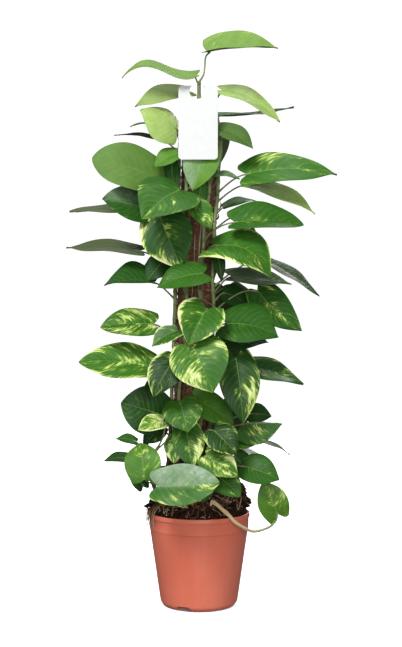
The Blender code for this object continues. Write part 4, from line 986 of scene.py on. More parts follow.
def chunk_material():
    """Lumps of peat and chips of bark, each with its own tone."""
    n = Nodes("bark_and_peat")
    colour = n.ramp(n.value("tint"), [(0.0, (0.012, 0.006, 0.003)), (0.45, (0.048, 0.021, 0.012)),
                                      (0.7, (0.18, 0.065, 0.034)), (0.9, (0.30, 0.14, 0.08)),
                                      (1.0, (0.50, 0.38, 0.27))])
    grain = n.noise(n.scaled(n.place(), 1, 1, 3), 320.0, 4.0, 0.65)
    n.bump(grain, 0.8, 0.0015)
    colour = n.mix(n.times(grain, 0.8), colour, (0.3, 0.26, 0.24), "MULTIPLY")
    return n.finish(colour, 0.93, Specular_IOR_Level=DRY_SHEEN)


def pot_material():
    """Terracotta-coloured plastic: moulded grain, faint flow lines, scuffs, soil dust at rim and foot."""
    n = Nodes("terracotta_polypropylene")
    place = n.place()
    flow = n.noise(n.scaled(place, 45, 45, 3), 1.0, 2.0)
    cloud = n.noise(place, 11.0, 3.0)
    colour = n.mix(n.step(cloud, 0.35, 0.7), (0.79, 0.178, 0.106), (0.85, 0.214, 0.132))
    colour = n.mix(n.step(flow, 0.45, 0.75, 0.0, 0.18), colour, (0.90, 0.30, 0.20))
    scratch = n.noise(n.scaled(place, 9, 9, 260), 1.0, 4.0, 0.6, 0.8)
    worn = n.noise(place, 17.0, 3.0)
    scuff = n.times(n.step(scratch, 0.66, 0.74), n.step(worn, 0.5, 0.66))
    colour = n.mix(n.times(scuff, 0.35), colour, (0.80, 0.42, 0.32))
    height = n.node("ShaderNodeSeparateXYZ", {"Vector": place}).outputs["Z"]
    low = n.step(height, 0.03, 0.0)
    high = n.step(height, 0.140, 0.156)
    speck = n.noise(place, 240.0, 4.0, 0.7)
    dust = n.times(n.step(speck, 0.56, 0.7), n.math("MULTIPLY_ADD", low, 0.35, n.math(
        "MULTIPLY_ADD", high, 0.4, 0.06)))
    colour = n.mix(dust, colour, (0.11, 0.055, 0.035))
    bumps = n.plus(n.times(n.noise(place, 900.0, 2.0), 0.4), n.times(flow, 0.5))
    n.bump(bumps, 0.12, 0.0006)
    rough = n.math("MULTIPLY_ADD", worn, 0.22, 0.33)
    rough = n.plus(rough, n.times(dust, 0.4))
    return n.finish(colour, rough)


def wood_material():
    """Sawn softwood stake: growth rings on the end, long grain down the side."""
    n = Nodes("stake_softwood")
    place = n.place()
    rings = n.node("ShaderNodeTexWave", {"Vector": n.scaled(place, 1, 1, 0.05), "Scale": 130.0,
                                         "Distortion": 2.5, "Detail": 2.0}, wave_type="RINGS",
                   rings_direction="Z").outputs["Fac"]
    grain = n.noise(n.scaled(place, 500, 500, 16), 1.0, 3.0)
    colour = n.mix(rings, (0.24, 0.14, 0.07), (0.44, 0.29, 0.16))
    colour = n.mix(n.times(grain, 0.5), colour, (0.5, 0.4, 0.3), "MULTIPLY")
    n.bump(n.plus(grain, rings), 0.3, 0.0006)
    return n.finish(colour, 0.8)


def tag_material():
    """Plain white coated card: faint mottle, soft gloss, a little soiling in patches."""
    n = Nodes("coated_card")
    place = n.place()
    mottle = n.noise(place, 150.0, 3.0)
    soil = n.times(n.step(n.noise(place, 36.0, 3.0), 0.52, 0.75), 0.25)
    colour = n.mix(mottle, (0.62, 0.635, 0.63), (0.67, 0.68, 0.67))
    colour = n.mix(soil, colour, (0.56, 0.57, 0.52))
    n.bump(n.noise(place, 900.0, 2.0), 0.06, 0.0003)
    return n.finish(colour, n.math("MULTIPLY_ADD", mottle, 0.2, 0.34))


def linked(name, data):
    """A new object in the scene."""
    obj = bpy.data.objects.new(name, data)
    bpy.context.scene.collection.objects.link(obj)
    return obj


class Shape:
    """Points, faces and values per point gathered for one piece, in mm."""

    def __init__(self, *values):
        self.points = []
        self.faces = []
        self.materials = []
        self.values = {name: [] for name in values}

    def add(self, points, faces, material=0, **values):
        first = len(self.points)
        self.points += points
        self.faces += [tuple(first + k for k in face) for face in faces]
        self.materials += [material] * len(faces)
        for name, store in self.values.items():
            value = values.get(name, 0.0)
            store.extend(value if isinstance(value, list) else [value] * len(points))

    def piece(self, name, materials, nodes=(), sharp=60):
        """The finished object, riding on the body and standing for the nodes it replaces."""
        mesh = bpy.data.meshes.new(name)
        mesh.from_pydata([p * 0.001 for p in self.points], [], self.faces)
        for material in materials:
            mesh.materials.append(material)
        mesh.polygons.foreach_set("material_index", self.materials)
        for key, store in self.values.items():
            mesh.attributes.new(key, "FLOAT", "POINT").data.foreach_set("value", store)
        mesh.shade_smooth()
        mesh.set_sharp_from_angle(angle=math.radians(sharp))
        obj = linked(name, mesh)
        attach(obj, "root")
        if nodes:
            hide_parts(*nodes)
        return obj


def clamped(value):
    """The value, kept between 0 and 1."""
    return max(0.0, min(1.0, value))


def tapered(radius, loss, count):
    """Radii that lose a share of the first one on their way to the end."""
    return [radius * (1 - loss * i / count) for i in range(count)]


def rounded_tube(route, radii, sides):
    """Points and faces of a closed tube whose radius changes from point to point of its route."""
    points = []
    first = None
    for i, centre in enumerate(route):
        ahead = (route[min(i + 1, len(route) - 1)] - route[max(i - 1, 0)]).normalized()
        first = ahead.orthogonal() if first is None else first - ahead * first.dot(ahead)
        first.normalize()
        second = ahead.cross(first)
        for k in range(sides):
            angle = 2 * math.pi * k / sides
            points.append(centre + (first * math.cos(angle) + second * math.sin(angle)) * radii[i])
    faces = wall(len(route), sides)
    last = (len(route) - 1) * sides
    faces.append(tuple(range(sides - 1, -1, -1)))
    faces.append(tuple(range(last, last + sides)))
    return points, faces


def fine_blade(leaf):
    """Both faces and the rim of a blade on a fine grid, with the values that its material reads."""
    points = []
    along = []
    across = []
    off_rib = []
    rows = [0.5 - 0.5 * math.cos(math.pi * i / FINE_ALONG) for i in range(FINE_ALONG)]
    columns = [2 * j / FINE_ACROSS - 1 for j in range(FINE_ACROSS + 1)]
    for u in rows:
        for v in columns:
            vein = u - abs(v) * (0.24 + 0.12 * abs(v))
            quilt = QUILT * math.cos(2 * math.pi * LATERAL_VEINS * vein) * math.sin(math.pi * min(1, abs(v)))
            crease = noise.noise(Vector((3.4 * u, 1.9 * v, leaf.phase))) * CRUMPLE * leaf.width * u
            points.append(leaf.point(u, v) + leaf.up * (quilt + crease))
            along.append(u)
            across.append(v)
            off_rib.append(abs(v) * leaf.width / 2 * leaf.outline(u))
    crease = noise.noise(Vector((3.4, 0, leaf.phase))) * CRUMPLE * leaf.width
    points.append(leaf.point(1.0, 0.0) + leaf.up * crease)
    along.append(1.0)
    across.append(0.0)
    off_rib.append(0.0)
    count = len(points)
    width = FINE_ACROSS + 1
    last = count - 1
    top = []
    for row in range(len(rows) - 1):
        for column in range(FINE_ACROSS):
            a = row * width + column
            top.append((a, a + 1, a + 1 + width, a + width))
    start = (len(rows) - 1) * width
    for column in range(FINE_ACROSS):
        top.append((start + column, start + column + 1, last))
    lift = [leaf.up * (FINE_THICKNESS / 2 * (1 - 0.55 * abs(v) ** 4)) for v in across]
    both = [p + up for p, up in zip(points, lift)] + [p - up for p, up in zip(points, lift)]
    faces = top + [tuple(k + count for k in reversed(face)) for face in top]
    border = list(range(width)) + [row * width + FINE_ACROSS for row in range(1, len(rows))] + [last]
    border += [row * width for row in range(len(rows) - 1, 0, -1)]
    for a, b in zip(border, border[1:] + border[:1]):
        faces.append((b, a, a + count, b + count))
    values = dict(along=along * 2, across=across * 2, off_rib=off_rib * 2,
                  under=[DULL.get(leaf.name, 0.0)] * count + [1.0] * count)
    # Painted sheen: a grey reflection painted on the half of the blade whose side faces up
    higher = 1 if leaf.side.z > 0 else -1
    share = PAINTED_SHEENS.get(leaf.name, 0.0)
    values["bloom"] = [share * clamped(0.5 + 2.5 * higher * v) for v in across] + [0.0] * count
    return both, faces, values


def dry_sheath(rng, number, base, out):
    """A small papery brown sheath that rises along a stem."""
    tip = base + out * rng.uniform(4, 7.5) + Vector((0, 0, rng.uniform(9, 20)))
    return Leaf(f"sheath_{number}", "", base, tip, rng.uniform(4, 7), (out.x, out.y, 0.3), fold=34, arch=0.2,
                lobe=0.0, number=number, plain=True)


def zigzag(name, line):
    """A climbing stem's line, bent a little to either side from node to node once it has left the soil."""
    if name not in CLIMBERS:
        return line
    bent = []
    run = 0.0
    for i, place in enumerate(line):
        run += (place - line[i - 1]).length if i else 0.0
        out = Vector((place.x - pole_axis(place.z).x, place.y, 0)).normalized()
        share = clamped(min((place.z - STEM_JOINS_POLE) / 80, (POLE_TOP - place.z) / 40))
        aside = Vector((-out.y, out.x, 0)) * ZIGZAG * share * math.sin(math.pi * run / STEM_NODE_STEP)
        bent.append(place + aside)
    return bent


def foliage(routes, leaves, stalks):
    """One piece a stem: its tube with swollen nodes, its stalks and its fine blades."""
    blade = leaf_material()
    bark = stem_material()
    rng = random.Random(LOOK_SEED)
    for name, route in routes.items():
        shape = Shape("along", "across", "off_rib", "under", "shade", "cream", "lean", "margin", "seed",
                      "dry", "bloom", "run", "woody", "ringed", "pale")
        runner = name == "runner_right"
        line = zigzag(name, smooth_line(route, LINE_STEP))
        run = [0.0]
        for a, b in zip(line, line[1:]):
            run.append(run[-1] + (b - a).length)
        radii = []
        woody = []
        pale = []
        for i, (place, length) in enumerate(zip(line, run)):
            past_node = abs((length / STEM_NODE_STEP + 0.5) % 1 - 0.5) * STEM_NODE_STEP
            swell = 1 + NODE_SWELL * math.exp(-(past_node / NODE_LENGTH) ** 2)
            thin = 1.0 if name in CLIMBERS else 1 + (LOW_STEM_END - 1) * max(0, 2 * i / len(line) - 1)
            radii.append(STEM_RADIUS * STEM_BARE * swell * thin)
            woody.append((0.16 + clamped((470 - place.z) / 300) * 0.5) * (not runner))
            pale.append(clamped(2.3 - 2.4 * i / len(line)) if runner else 0.0)
        spread = {key: [value for value in values for _ in range(STEM_SIDES)]
                  for key, values in (("run", run), ("woody", woody), ("pale", pale))}
        shape.add(*rounded_tube(line, radii, STEM_SIDES), 1, ringed=1.0, **spread)
        for leaf in leaves:
            if leaf.stem != name:
                continue
            stalk = smooth_line(stalks[leaf.name], LINE_STEP)
            thickness = []
            for i in range(len(stalk)):
                t = i / (len(stalk) - 1)
                sheath = 0.9 * max(0.0, 1 - t / 0.22)
                joint = 0.45 * math.exp(-((t - 0.93) / 0.05) ** 2)
                thickness.append(STALK_RADIUS * STALK_BARE + sheath + joint)
            shape.add(*rounded_tube(stalk, thickness, STALK_SIDES), 1, run=0.0, woody=rng.uniform(0, 0.4),
                      pale=0.0)
            drawn = [rng.uniform(*span) for span in LOOKS_DRAWN]
            shade, cream, lean, margin = (*LOOKS.get(leaf.name, drawn), 0.0, 0.0)[:4]
            points, faces, values = fine_blade(leaf)
            shape.add(points, faces, 0, shade=shade, cream=cream, lean=lean, margin=margin,
                      seed=rng.uniform(0, 20), **values)
        if name in CLIMBERS:
            for number in range(SHEATH_COUNT):
                base = on_stem(line, rng.uniform(*SHEATH_HEIGHTS))
                out = Vector((base.x - pole_axis(base.z).x, base.y, 0)).normalized()
                sheath = dry_sheath(rng, number, base + out * STEM_RADIUS * SHEATH_ROOT, out)
                points, faces, values = fine_blade(sheath)
                shape.add(points, faces, 0, dry=1.0, seed=rng.uniform(0, 20), **values)
        shape.piece("foliage_" + name, [blade, bark], [name])


def aerial_roots(routes):
    """Short brown roots from the stems' nodes that cling to the pole, and long dry strands up its front."""
    rng = random.Random(LOOK_SEED + 1)
    shape = Shape("tint")
    for name in CLIMBERS:
        for z in range(STEM_JOINS_POLE + 20, POLE_TOP - 20, AERIAL_STEP):
            start = on_stem(routes[name], z)
            axis = pole_axis(z)
            angle = math.atan2(start.y, start.x - axis.x)
            for turn in (-1, 1):
                if rng.random() < 0.3:
                    continue
                reach = rng.uniform(0.2, 0.75) * turn
                drift = rng.uniform(-14, 10)
                route = []
                for k in range(AERIAL_STEPS + 1):
                    t = k / AERIAL_STEPS
                    a = angle + reach * t
                    away = POLE_RADIUS + 3.2 * (1 - t) + 0.9
                    wobble = rng.uniform(-0.8, 0.8)
                    rise = drift * t * t + wobble
                    route.append(axis + Vector((math.cos(a) * away, math.sin(a) * away, rise)))
                radii = [1.0 - 0.65 * k / AERIAL_STEPS for k in range(AERIAL_STEPS + 1)]
                shape.add(*rounded_tube(route, radii, 5), tint=rng.uniform(0.15, 0.8))
    for _ in range(STRAND_COUNT):
        angle = math.radians(rng.uniform(222, 312))
        low = rng.uniform(330, 600)
        high = min(low + rng.uniform(60, 190), POLE_TOP - 30)
        turn = rng.uniform(-0.16, 0.16)
        away = POLE_RADIUS + rng.uniform(1.0, 4.5)
        route = []
        for k in range(STRAND_STEPS + 1):
            t = k / STRAND_STEPS
            a = angle + turn * t + rng.uniform(-0.02, 0.02)
            reach = away + 2.5 * math.sin(math.pi * t)
            route.append(pole_axis(low + (high - low) * t) + polar(a, reach))
        line = smooth_line(route, 6)
        radii = tapered(rng.uniform(0.6, 1.7), 0.5, len(line))
        shape.add(*rounded_tube(line, radii, 6), tint=rng.uniform(0.35, 0.95))
    shape.piece("aerial_roots", [root_material()])


def coir(rng):
    """The matted sleeve, its loose fibres and the net round it."""
    sleeve = Shape()
    inner = CORE_RADIUS + GAP + 0.2
    rows = [(inner, POLE_BOTTOM + 1)]
    for i in range(COIR_FINE_RINGS + 1):
        rows.append((POLE_RADIUS, POLE_BOTTOM + 1 + (POLE_TOP - POLE_BOTTOM - 2) * i / COIR_FINE_RINGS))
    rows += [(POLE_RADIUS - 2.5, POLE_TOP), (inner + 5, POLE_TOP + 0.5), (inner, POLE_TOP - 0.5)]
    points = []
    for radius, z in rows:
        for k in range(COIR_FINE_SEGMENTS):
            angle = 2 * math.pi * k / COIR_FINE_SEGMENTS
            out = polar(angle)
            here = out * radius + Vector((0, 0, z))
            dent = 0
            if radius > POLE_RADIUS - 5:
                dent = 1.5 * (0.5 + 0.5 * noise.noise(here * 0.045)) + 1.1 * noise.noise(here * 0.22)
            here = out * (radius - dent) + Vector((0, 0, z + 0.4 * noise.noise(here * 0.3)))
            points.append(here + Vector((pole_axis(z).x, 0, 0)))
    faces = [tuple(k % len(points) for k in face) for face in wall(len(rows) + 1, COIR_FINE_SEGMENTS)]
    sleeve.add(points, faces)
    sleeve.piece("coir_sleeve", [coir_material()], ["coir_pole"])

    fibres = Shape("tint")
    for _ in range(FIBRE_COUNT):
        z = rng.uniform(FIBRE_BOTTOM, POLE_TOP)
        angle = rng.uniform(0, 2 * math.pi)
        turn = rng.uniform(-1, 1) * 0.24
        climb = rng.gauss(0, 4.5)
        frizz = rng.uniform(1.5, 6) if rng.random() < 0.22 else 0.4
        lift = rng.uniform(-0.9, 0.5)
        route = []
        for k in range(FIBRE_STEPS + 1):
            t = k / FIBRE_STEPS
            a = angle + turn * 6 * t + rng.uniform(-0.012, 0.012)
            height = min(z + climb * 6 * t + rng.uniform(-0.6, 0.6), POLE_TOP + 3)
            away = POLE_RADIUS + lift + frizz * max(0, t - 0.55) * 2
            route.append(pole_axis(height) + polar(a, away))
        radius = rng.uniform(0.22, 0.42)
        radii = [radius * (1 - 0.4 * k / FIBRE_STEPS) for k in range(FIBRE_STEPS + 1)]
        fibres.add(*rounded_tube(route, radii, 3), tint=rng.random())
    fibres.piece("coir_fibres", [fibre_material()])

    net = Shape()
    for k in range(NET_THREADS):
        for way in (-1, 1):
            route = []
            for i in range(NET_STEPS + 1):
                z = NET_BOTTOM + (POLE_TOP - NET_BOTTOM) * i / NET_STEPS
                a = 2 * math.pi * (k / NET_THREADS + way * NET_TURNS * i / NET_STEPS)
                away = POLE_RADIUS + 0.3 + 0.25 * way
                route.append(pole_axis(z) + polar(a, away))
            net.add(*rounded_tube(route, [NET_THREAD_RADIUS] * len(route), 4))
    net.piece("pole_net", [net_material()])


def mound_height(x, y):
    """Height of the soil's surface, with the root balls that stand up at either side."""
    inner = pot_inner_radius(POT_HEIGHT) - GAP
    share = min(1.0, math.hypot(x, y) / inner)
    height = SOIL_MOUND[-1][1]
    for (s0, z0), (s1, z1) in zip(SOIL_MOUND, SOIL_MOUND[1:]):
        if s0 <= share <= s1:
            height = z0 + (z1 - z0) * (share - s0) / (s1 - s0)
    if share < 0.98:
        height += SOIL_LUMP * noise.noise(Vector((x, y, height)) * 0.001 * SOIL_LUMP_SCALE)
        height += SOIL_TILT * (x + y) / inner
    return height + heap_height(x, y)


def lump(rng, centre, size, stretch):
    """A rough crumb: a small sphere pushed in and out and stretched one way."""
    bm = bmesh.new()
    bmesh.ops.create_icosphere(bm, subdivisions=1, radius=1.0)
    turn = Matrix.Rotation(rng.uniform(0, 6.28), 3, "Z") @ Matrix.Rotation(rng.uniform(-0.7, 0.7), 3, "X")
    shift = Vector((rng.uniform(0, 50), rng.uniform(0, 50), rng.uniform(0, 50)))
    points = []
    for vertex in bm.verts:
        out = vertex.co * (1 + 0.55 * noise.noise(vertex.co * 1.4 + shift))
        out = Vector((out.x * stretch, out.y, out.z * 0.75))
        points.append(centre + turn @ out * size)
    faces = [tuple(v.index for v in face.verts) for face in bm.faces]
    bm.free()
    return points, faces


def seated(points, faces, solids):
    """The crumb's points, moved to the nearest surface where they cross none of the solids."""
    own = BVHTree.FromPolygons(points, faces)
    if any(own.overlap(solid) for solid in solids):
        return points
    middle = sum(points, Vector()) / len(points)
    near = min((solid.find_nearest(middle) for solid in solids), key=lambda hit: hit[3])[0]
    return [point + near - middle for point in points]


def soil(rng):
    """The mound's crumbly surface, lumps of peat and bark, and roots in and over it."""
    top = Shape()
    inner = pot_inner_radius(POT_HEIGHT) - 0.05
    points = [Vector((0, 0, mound_height(0, 0) + SOIL_COVER))]
    for i in range(1, SOIL_RINGS + 1):
        for k in range(SOIL_SIDES):
            angle = 2 * math.pi * k / SOIL_SIDES
            x = inner * i / SOIL_RINGS * math.cos(angle)
            y = inner * i / SOIL_RINGS * math.sin(angle)
            rough = 2.6 * noise.noise(Vector((x, y, 0)) * 0.11) + 1.6 * noise.noise(Vector((x, y, 7)) * 0.34)
            points.append(Vector((x, y, mound_height(x, y) + SOIL_COVER + rough)))
    faces = [(0, 1 + k, 1 + (k + 1) % SOIL_SIDES) for k in range(SOIL_SIDES)]
    faces += [(a + 1, d + 1, c + 1, b + 1) for a, b, c, d in wall(SOIL_RINGS, SOIL_SIDES)]
    top.add(points, faces)
    ground = BVHTree.FromPolygons(points, faces)
    mix = soil_material()
    top.piece("soil_surface", [mix])
    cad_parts["soil"].data.materials.clear()
    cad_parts["soil"].data.materials.append(mix)

    crumbs = Shape("tint")
    for _ in range(CHUNK_COUNT):
        angle = rng.uniform(0, 2 * math.pi)
        away = inner * math.sqrt(rng.uniform(0.1, 0.93))
        x = away * math.cos(angle)
        y = away * math.sin(angle)
        bark = rng.random() < 0.3
        size = rng.uniform(1.4, 3.4) if bark else rng.uniform(1.2, 4.2)
        centre = Vector((x, y, mound_height(x, y) + 1.6 + rng.uniform(-0.5, 0.6) * size))
        points, faces = lump(rng, centre, size, rng.uniform(1.6, 3.0) if bark else rng.uniform(0.9, 1.3))
        points = seated(points, faces, [ground])
        crumbs.add(points, faces, tint=rng.uniform(0.6, 1.0) if bark else rng.uniform(0.0, 0.6))
    for x, y, height, spread in SOIL_HEAPS:
        heap = []
        for _ in range(HEAP_CRUMBS):
            here = Vector((x + rng.gauss(0, spread * 0.6), y + rng.gauss(0, spread), 0))
            over = here.length - (inner - 2)
            if over > 0:
                here *= (here.length - over * (1 - ROOT_BALL_OVERHANG)) / here.length
            low = max(mound_height(*(here * min(1, (inner - 4) / here.length)).xy) - height, POT_HEIGHT + 6)
            here.z = rng.uniform(low, mound_height(here.x, here.y) + 5) if over > 0 else 0
            here.z = max(here.z, mound_height(here.x, here.y) + rng.uniform(-1, 5))
            points, faces = lump(rng, here, rng.uniform(2.0, 4.6), rng.uniform(0.9, 1.8))
            heap.append((ground.find_nearest(here)[3], points, faces, rng.uniform(0.0, 0.75)))
        solids = [ground]
        for _, points, faces, tint in sorted(heap, key=lambda crumb: crumb[0]):
            points = seated(points, faces, solids)
            crumbs.add(points, faces, tint=tint)
            solids.append(BVHTree.FromPolygons(points, faces))
    crumbs.piece("soil_crumbs", [chunk_material()], sharp=35)
    loose_roots(rng, inner)


def loose_roots(rng, inner):
    """Fine roots that curl over the soil, stand in the root balls and hang over the left rim."""
    roots = Shape("tint")
    for _ in range(SOIL_ROOTS):
        angle = rng.uniform(0, 2 * math.pi)
        away = inner * math.sqrt(rng.uniform(0.15, 0.9))
        heading = rng.uniform(0, 2 * math.pi)
        route = []
        for k in range(9):
            heading += rng.uniform(-0.6, 0.6)
            x = away * math.cos(angle) + 4.5 * k * math.cos(heading)
            y = away * math.sin(angle) + 4.5 * k * math.sin(heading)
            if math.hypot(x, y) > inner - 1:
                break
            route.append(Vector((x, y, mound_height(x, y) + 3.0 + 1.6 * math.sin(k * 1.1 + angle))))
        if len(route) > 3:
            line = smooth_line(route, ROOT_STEP)
            radii = [rng.uniform(0.3, 0.75)] * len(line)
            roots.add(*rounded_tube(line, radii, 5), tint=rng.uniform(0.25, 1.0))
    rim = POT_RIM_RADIUS
    for _ in range(RIM_ROOTS):
        angle = math.radians(rng.uniform(183, 214))
        out = polar(angle)
        side = Vector((-out.y, out.x, 0))
        drop = rng.uniform(4, 24)
        sway = side * rng.uniform(-9, 9)
        route = [
            out * (rim - 24) + Vector((0, 0, mound_height(out.x * (rim - 24), out.y * (rim - 24)))),
            out * (rim - 12) + Vector((0, 0, POT_HEIGHT + rng.uniform(9, 22))) + sway * 0.3,
            out * (rim + rng.uniform(0.5, 2)) + Vector((0, 0, POT_HEIGHT + rng.uniform(2, 9))) + sway * 0.6,
            out * (rim + rng.uniform(2, 6)) + Vector((0, 0, POT_HEIGHT - drop * 0.5)) + sway * 0.8,
            out * (rim + rng.uniform(1, 7)) + Vector((0, 0, POT_HEIGHT - drop)) + sway,
        ]
        line = smooth_line(route, ROOT_STEP)
        radii = tapered(rng.uniform(0.35, 0.95), 0.6, len(line))
        roots.add(*rounded_tube(line, radii, 5), tint=rng.uniform(0.1, 1.0))
    for _ in range(BALL_ROOTS):
        centre = Vector((rng.uniform(54, 76), rng.uniform(-26, 10), 0))
        heading = rng.uniform(0, 2 * math.pi)
        route = []
        for i in range(7):
            t = i / 6
            x = centre.x + 13 * (t - 0.5) * math.cos(heading)
            y = centre.y + 13 * (t - 0.5) * math.sin(heading)
            hump = 5 * math.sin(math.pi * t)
            route.append(Vector((x, y, mound_height(x, y) + 3 + hump + rng.uniform(-1, 1))))
        line = smooth_line(route, ROOT_STEP)
        roots.add(*rounded_tube(line, [rng.uniform(0.35, 0.8)] * len(line), 5), tint=rng.uniform(0.0, 0.6))
    roots.piece("loose_roots", [root_material()])


def arc(radius, x, z, start, stop, steps):
    """Points of an arc, from one angle to another in degrees."""
    points = []
    for i in range(steps + 1):
        angle = math.radians(start + (stop - start) * i / steps)
        points.append((x + radius * math.cos(angle), z + radius * math.sin(angle)))
    return points


def turned_piece(name, profile, steps):
    """An object turned from (radius, height) points in mm."""
    mesh = bpy.data.meshes.new(name)
    edges = [(i, i + 1) for i in range(len(profile) - 1)]
    mesh.from_pydata([Vector((r, 0, z)) * 0.001 for r, z in profile], edges, [])
    obj = linked(name, mesh)
    screw = obj.modifiers.new("turn", "SCREW")
    screw.steps = steps
    screw.render_steps = steps
    screw.use_merge_vertices = True
    screw.merge_threshold = 0.00001
    return obj


def pot():
    """Finely turned pot with a rolled lip, a stacking skirt, a raised floor, foot notches and drain holes."""
    floor = POT_FLOOR_HEIGHT
    lip = POT_HEIGHT - POT_LIP_HEIGHT
    inside = POT_SKIRT_RADIUS - POT_WALL
    lip_middle = (inside + POT_RIM_RADIUS) / 2
    round_lip = (POT_RIM_RADIUS - inside) / 2
    profile = [(0, floor), (pot_inner_radius(floor) - 4, floor)]
    profile += arc(4, pot_inner_radius(floor) - 4, floor + 4, -90, -8, 5)
    profile += [(pot_inner_radius(POT_SKIRT_BOTTOM), POT_SKIRT_BOTTOM), (inside, POT_SKIRT_BOTTOM + POT_WALL)]
    profile += arc(round_lip, lip_middle, POT_HEIGHT - round_lip, 180, 0, 12)
    profile += [(POT_RIM_RADIUS, lip + 1.4)] + arc(1.4, POT_RIM_RADIUS - 1.4, lip + 1.4, -15, -90, 4)
    profile += [(POT_SKIRT_RADIUS + 0.7, lip), (POT_SKIRT_RADIUS + 0.1, lip - 1)]
    profile += [(POT_SKIRT_RADIUS - 0.2, POT_SKIRT_BOTTOM + 1.3)]
    profile += arc(1.0, POT_SKIRT_RADIUS - 1.2, POT_SKIRT_BOTTOM + 0.9, -20, -90, 4)
    profile += [(POT_WALL_TOP_RADIUS + 0.5, POT_SKIRT_BOTTOM - 0.4)]
    profile += [(POT_WALL_TOP_RADIUS, POT_SKIRT_BOTTOM - 2)]
    profile += [(POT_FOOT_RADIUS + 0.4, POT_CORNER + 2)]
    profile += arc(POT_CORNER, POT_FOOT_RADIUS - POT_CORNER, POT_CORNER, 0, -90, 8)
    profile += [(POT_FOOT_RADIUS - POT_CORNER - POT_FOOT_WIDTH, 0)]
    profile += [(POT_FOOT_RADIUS - POT_WALL - 2.5, POT_CORNER)]
    profile += [(POT_FOOT_RADIUS - POT_WALL - 1.6, floor - POT_WALL), (0, floor - POT_WALL)]
    obj = turned_piece("nursery_pot", profile, POT_TURN_STEPS)
    tools = []
    for i in range(NOTCH_COUNT):
        bm = bmesh.new()
        bmesh.ops.create_cube(bm, size=1)
        sides = (0.001 * NOTCH_DEPTH, 0.001 * NOTCH_WIDTH, 0.002 * NOTCH_HEIGHT)
        bmesh.ops.scale(bm, verts=bm.verts, vec=sides)
        upper = [edge for edge in bm.edges if all(v.co.z > 0 for v in edge.verts)
                 and abs(edge.verts[0].co.y - edge.verts[1].co.y) < 1e-6]
        bmesh.ops.bevel(bm, geom=upper, offset=0.003, segments=4, affect="EDGES")
        tools.append(cutter(f"notch_{i}", bm))
        angle = math.radians(NOTCH_TURN) + 2 * math.pi * i / NOTCH_COUNT
        tools[-1].location = polar(angle) * POT_FOOT_RADIUS * 0.001
        tools[-1].rotation_euler = (0, 0, angle)
    for i in range(HOLE_COUNT):
        bm = bmesh.new()
        bmesh.ops.create_cone(bm, cap_ends=True, segments=32, radius1=0.001 * HOLE_RADIUS,
                              radius2=0.001 * HOLE_RADIUS, depth=0.03)
        tools.append(cutter(f"drain_{i}", bm))
        angle = math.radians(HOLE_TURN) + 2 * math.pi * i / HOLE_COUNT
        tools[-1].location = Vector((math.cos(angle), math.sin(angle), 0.3)) * HOLE_RING * 0.001
    for tool in tools:
        boolean = obj.modifiers.new("cut", "BOOLEAN")
        boolean.operation = "DIFFERENCE"
        boolean.solver = "EXACT"
        boolean.object = tool
    bpy.context.view_layer.update()
    graph = bpy.context.evaluated_depsgraph_get()
    shaped = bpy.data.meshes.new_from_object(obj.evaluated_get(graph))
    obj.modifiers.clear()
    obj.data = shaped
    for tool in tools:
        bpy.data.objects.remove(tool)
    obj.data.materials.clear()
    obj.data.materials.append(pot_material())
    obj.data.shade_smooth()
    obj.data.set_sharp_from_angle(angle=math.radians(38))
    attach(obj, "root")
    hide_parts("pot")


def cutter(name, bm):
    """A closed shape to cut with."""
    mesh = bpy.data.meshes.new(name)
    bm.to_mesh(mesh)
    bm.free()
    return linked(name, mesh)


def tag():
    """Blank card with rounded corners, a soft edge and the hook notch."""
    left = TAG_NOTCH_SIDE - TAG_WIDTH / 2
    right = left + TAG_WIDTH
    top = TAG_NOTCH_DEPTH
    bottom = top - TAG_HEIGHT
    meet = math.degrees(math.asin(top / TAG_NOTCH_RADIUS))
    outline = arc(TAG_CORNER, right - TAG_CORNER, top - TAG_CORNER, 0, 90, 8)
    outline += arc(TAG_NOTCH_RADIUS, 0, 0, meet, -180 - meet, 40)
    outline += arc(TAG_CORNER, left + TAG_CORNER, top - TAG_CORNER, 90, 180, 8)
    outline += arc(TAG_CORNER, left + TAG_CORNER, bottom + TAG_CORNER, 180, 270, 8)
    outline += arc(TAG_CORNER, right - TAG_CORNER, bottom + TAG_CORNER, 270, 360, 8)
    bm = bmesh.new()
    verts = [bm.verts.new((x * 0.001, y * 0.001, -TAG_THICKNESS * 0.0005)) for x, y in outline]
    face = bm.faces.new(verts)
    raised = bmesh.ops.extrude_face_region(bm, geom=[face])
    lifted = [item for item in raised["geom"] if isinstance(item, bmesh.types.BMVert)]
    bmesh.ops.translate(bm, verts=lifted, vec=(0, 0, TAG_THICKNESS * 0.001))
    bmesh.ops.recalc_face_normals(bm, faces=bm.faces)
    rim = [edge for edge in bm.edges if edge.calc_face_angle(0) > 1.2 and abs(
        edge.verts[0].co.z - edge.verts[1].co.z) < 1e-6]
    bmesh.ops.bevel(bm, geom=rim, offset=0.00018, segments=2, affect="EDGES")
    mesh = bpy.data.meshes.new("blank_tag")
    bm.to_mesh(mesh)
    bm.free()
    mesh.materials.append(tag_material())
    turn = Matrix.Rotation(math.radians(90) - TAG_LEAN, 4, "X")
    mesh.transform(Matrix.Translation(notch_centre() * 0.001) @ turn)
    mesh.shade_smooth()
    mesh.set_sharp_from_angle(angle=math.radians(50))
    obj = linked("blank_tag", mesh)
    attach(obj, "root")
    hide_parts("hang_tag")


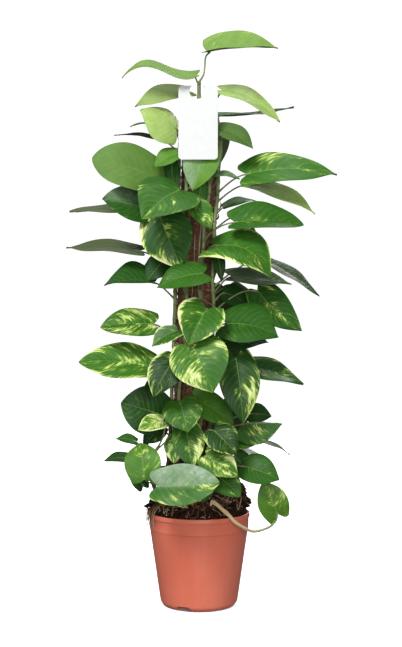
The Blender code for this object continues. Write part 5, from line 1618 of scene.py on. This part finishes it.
def studio():
    """Pale floor that curves up all round, soft lights and the camera.

    The floor is left out of what lights the plant, and doesn't glow under the pot, where the foot shades it.
    """
    n = Nodes("studio_white", 0.9)
    n.shader.inputs["Base Color"].default_value = (0.9, 0.9, 0.9, 1)
    n.shader.inputs["Emission Color"].default_value = (1, 1, 1, 1)
    away = n.node("ShaderNodeVectorMath", {0: n.place()}, operation="LENGTH").outputs["Value"]
    under_foot = (POT_FOOT_RADIUS - 8) * 0.001
    n.put(n.step(away, under_foot, under_foot + 0.006, 0.0, FLOOR_GLOW), n.shader.inputs["Emission Strength"])
    profile = [(0.0, 0.0), (0.3, 0.0), (FLOOR_RADIUS, 0.0)]
    profile += arc(FLOOR_CURVE, FLOOR_RADIUS, FLOOR_CURVE, -90, 0, 12)[1:]
    profile += [(FLOOR_RADIUS + FLOOR_CURVE, FLOOR_HEIGHT)]
    bowl = turned_piece("studio_bowl", [(r * 1000, z * 1000) for r, z in profile], 96)
    bowl.data.materials.append(n.material)
    bowl.data.shade_smooth()
    bowl.visible_diffuse = False
    bowl.visible_glossy = False

    world = bpy.data.worlds.new("studio_world")
    world.use_nodes = True
    world.node_tree.nodes["Background"].inputs["Color"].default_value = (0.98, 0.99, 1.0, 1)
    world.node_tree.nodes["Background"].inputs["Strength"].default_value = AMBIENT
    bpy.context.scene.world = world
    bpy.context.scene.view_settings.view_transform = "Standard"

    lights = [
        ("key", (-0.8, -1.7, 2.3), 1.0, 62),
        ("fill", (0.3, -2.6, 0.7), 1.6, 34),
        ("top", (0.2, 0.2, 2.6), 1.2, 14),
        ("back", (0.9, 2.5, 1.9), 1.6, 48),
    ]
    for name, place, size, power in lights:
        light = bpy.data.lights.new(name, "AREA")
        light.shape = "DISK"
        light.size = size
        light.energy = power
        lamp = linked(name, light)
        lamp.location = place
        lamp.rotation_euler = (LIGHTS_AIM - lamp.location).to_track_quat("-Z", "Y").to_euler()

    camera = bpy.data.cameras.new("camera")
    camera.sensor_width = SENSOR_WIDTH
    camera.sensor_fit = "HORIZONTAL"
    camera.lens = SENSOR_WIDTH * (-EYE.y / MM_PER_PIXEL) / FRAME_WIDTH
    viewer = linked("camera", camera)
    viewer.location = (CAMERA_X, EYE.y * 0.001, EYE.z * 0.001)
    viewer.rotation_euler = (math.radians(90), 0, 0)
    bpy.context.scene.camera = viewer


studio()
stem_lines, all_leaves, all_stalks = grow()
pot()
soil(random.Random(LOOK_SEED + 2))
coir(random.Random(LOOK_SEED + 3))
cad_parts["pole_core"].data.materials.clear()
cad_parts["pole_core"].data.materials.append(wood_material())
foliage(stem_lines, all_leaves, all_stalks)
aerial_roots(stem_lines)
tag()
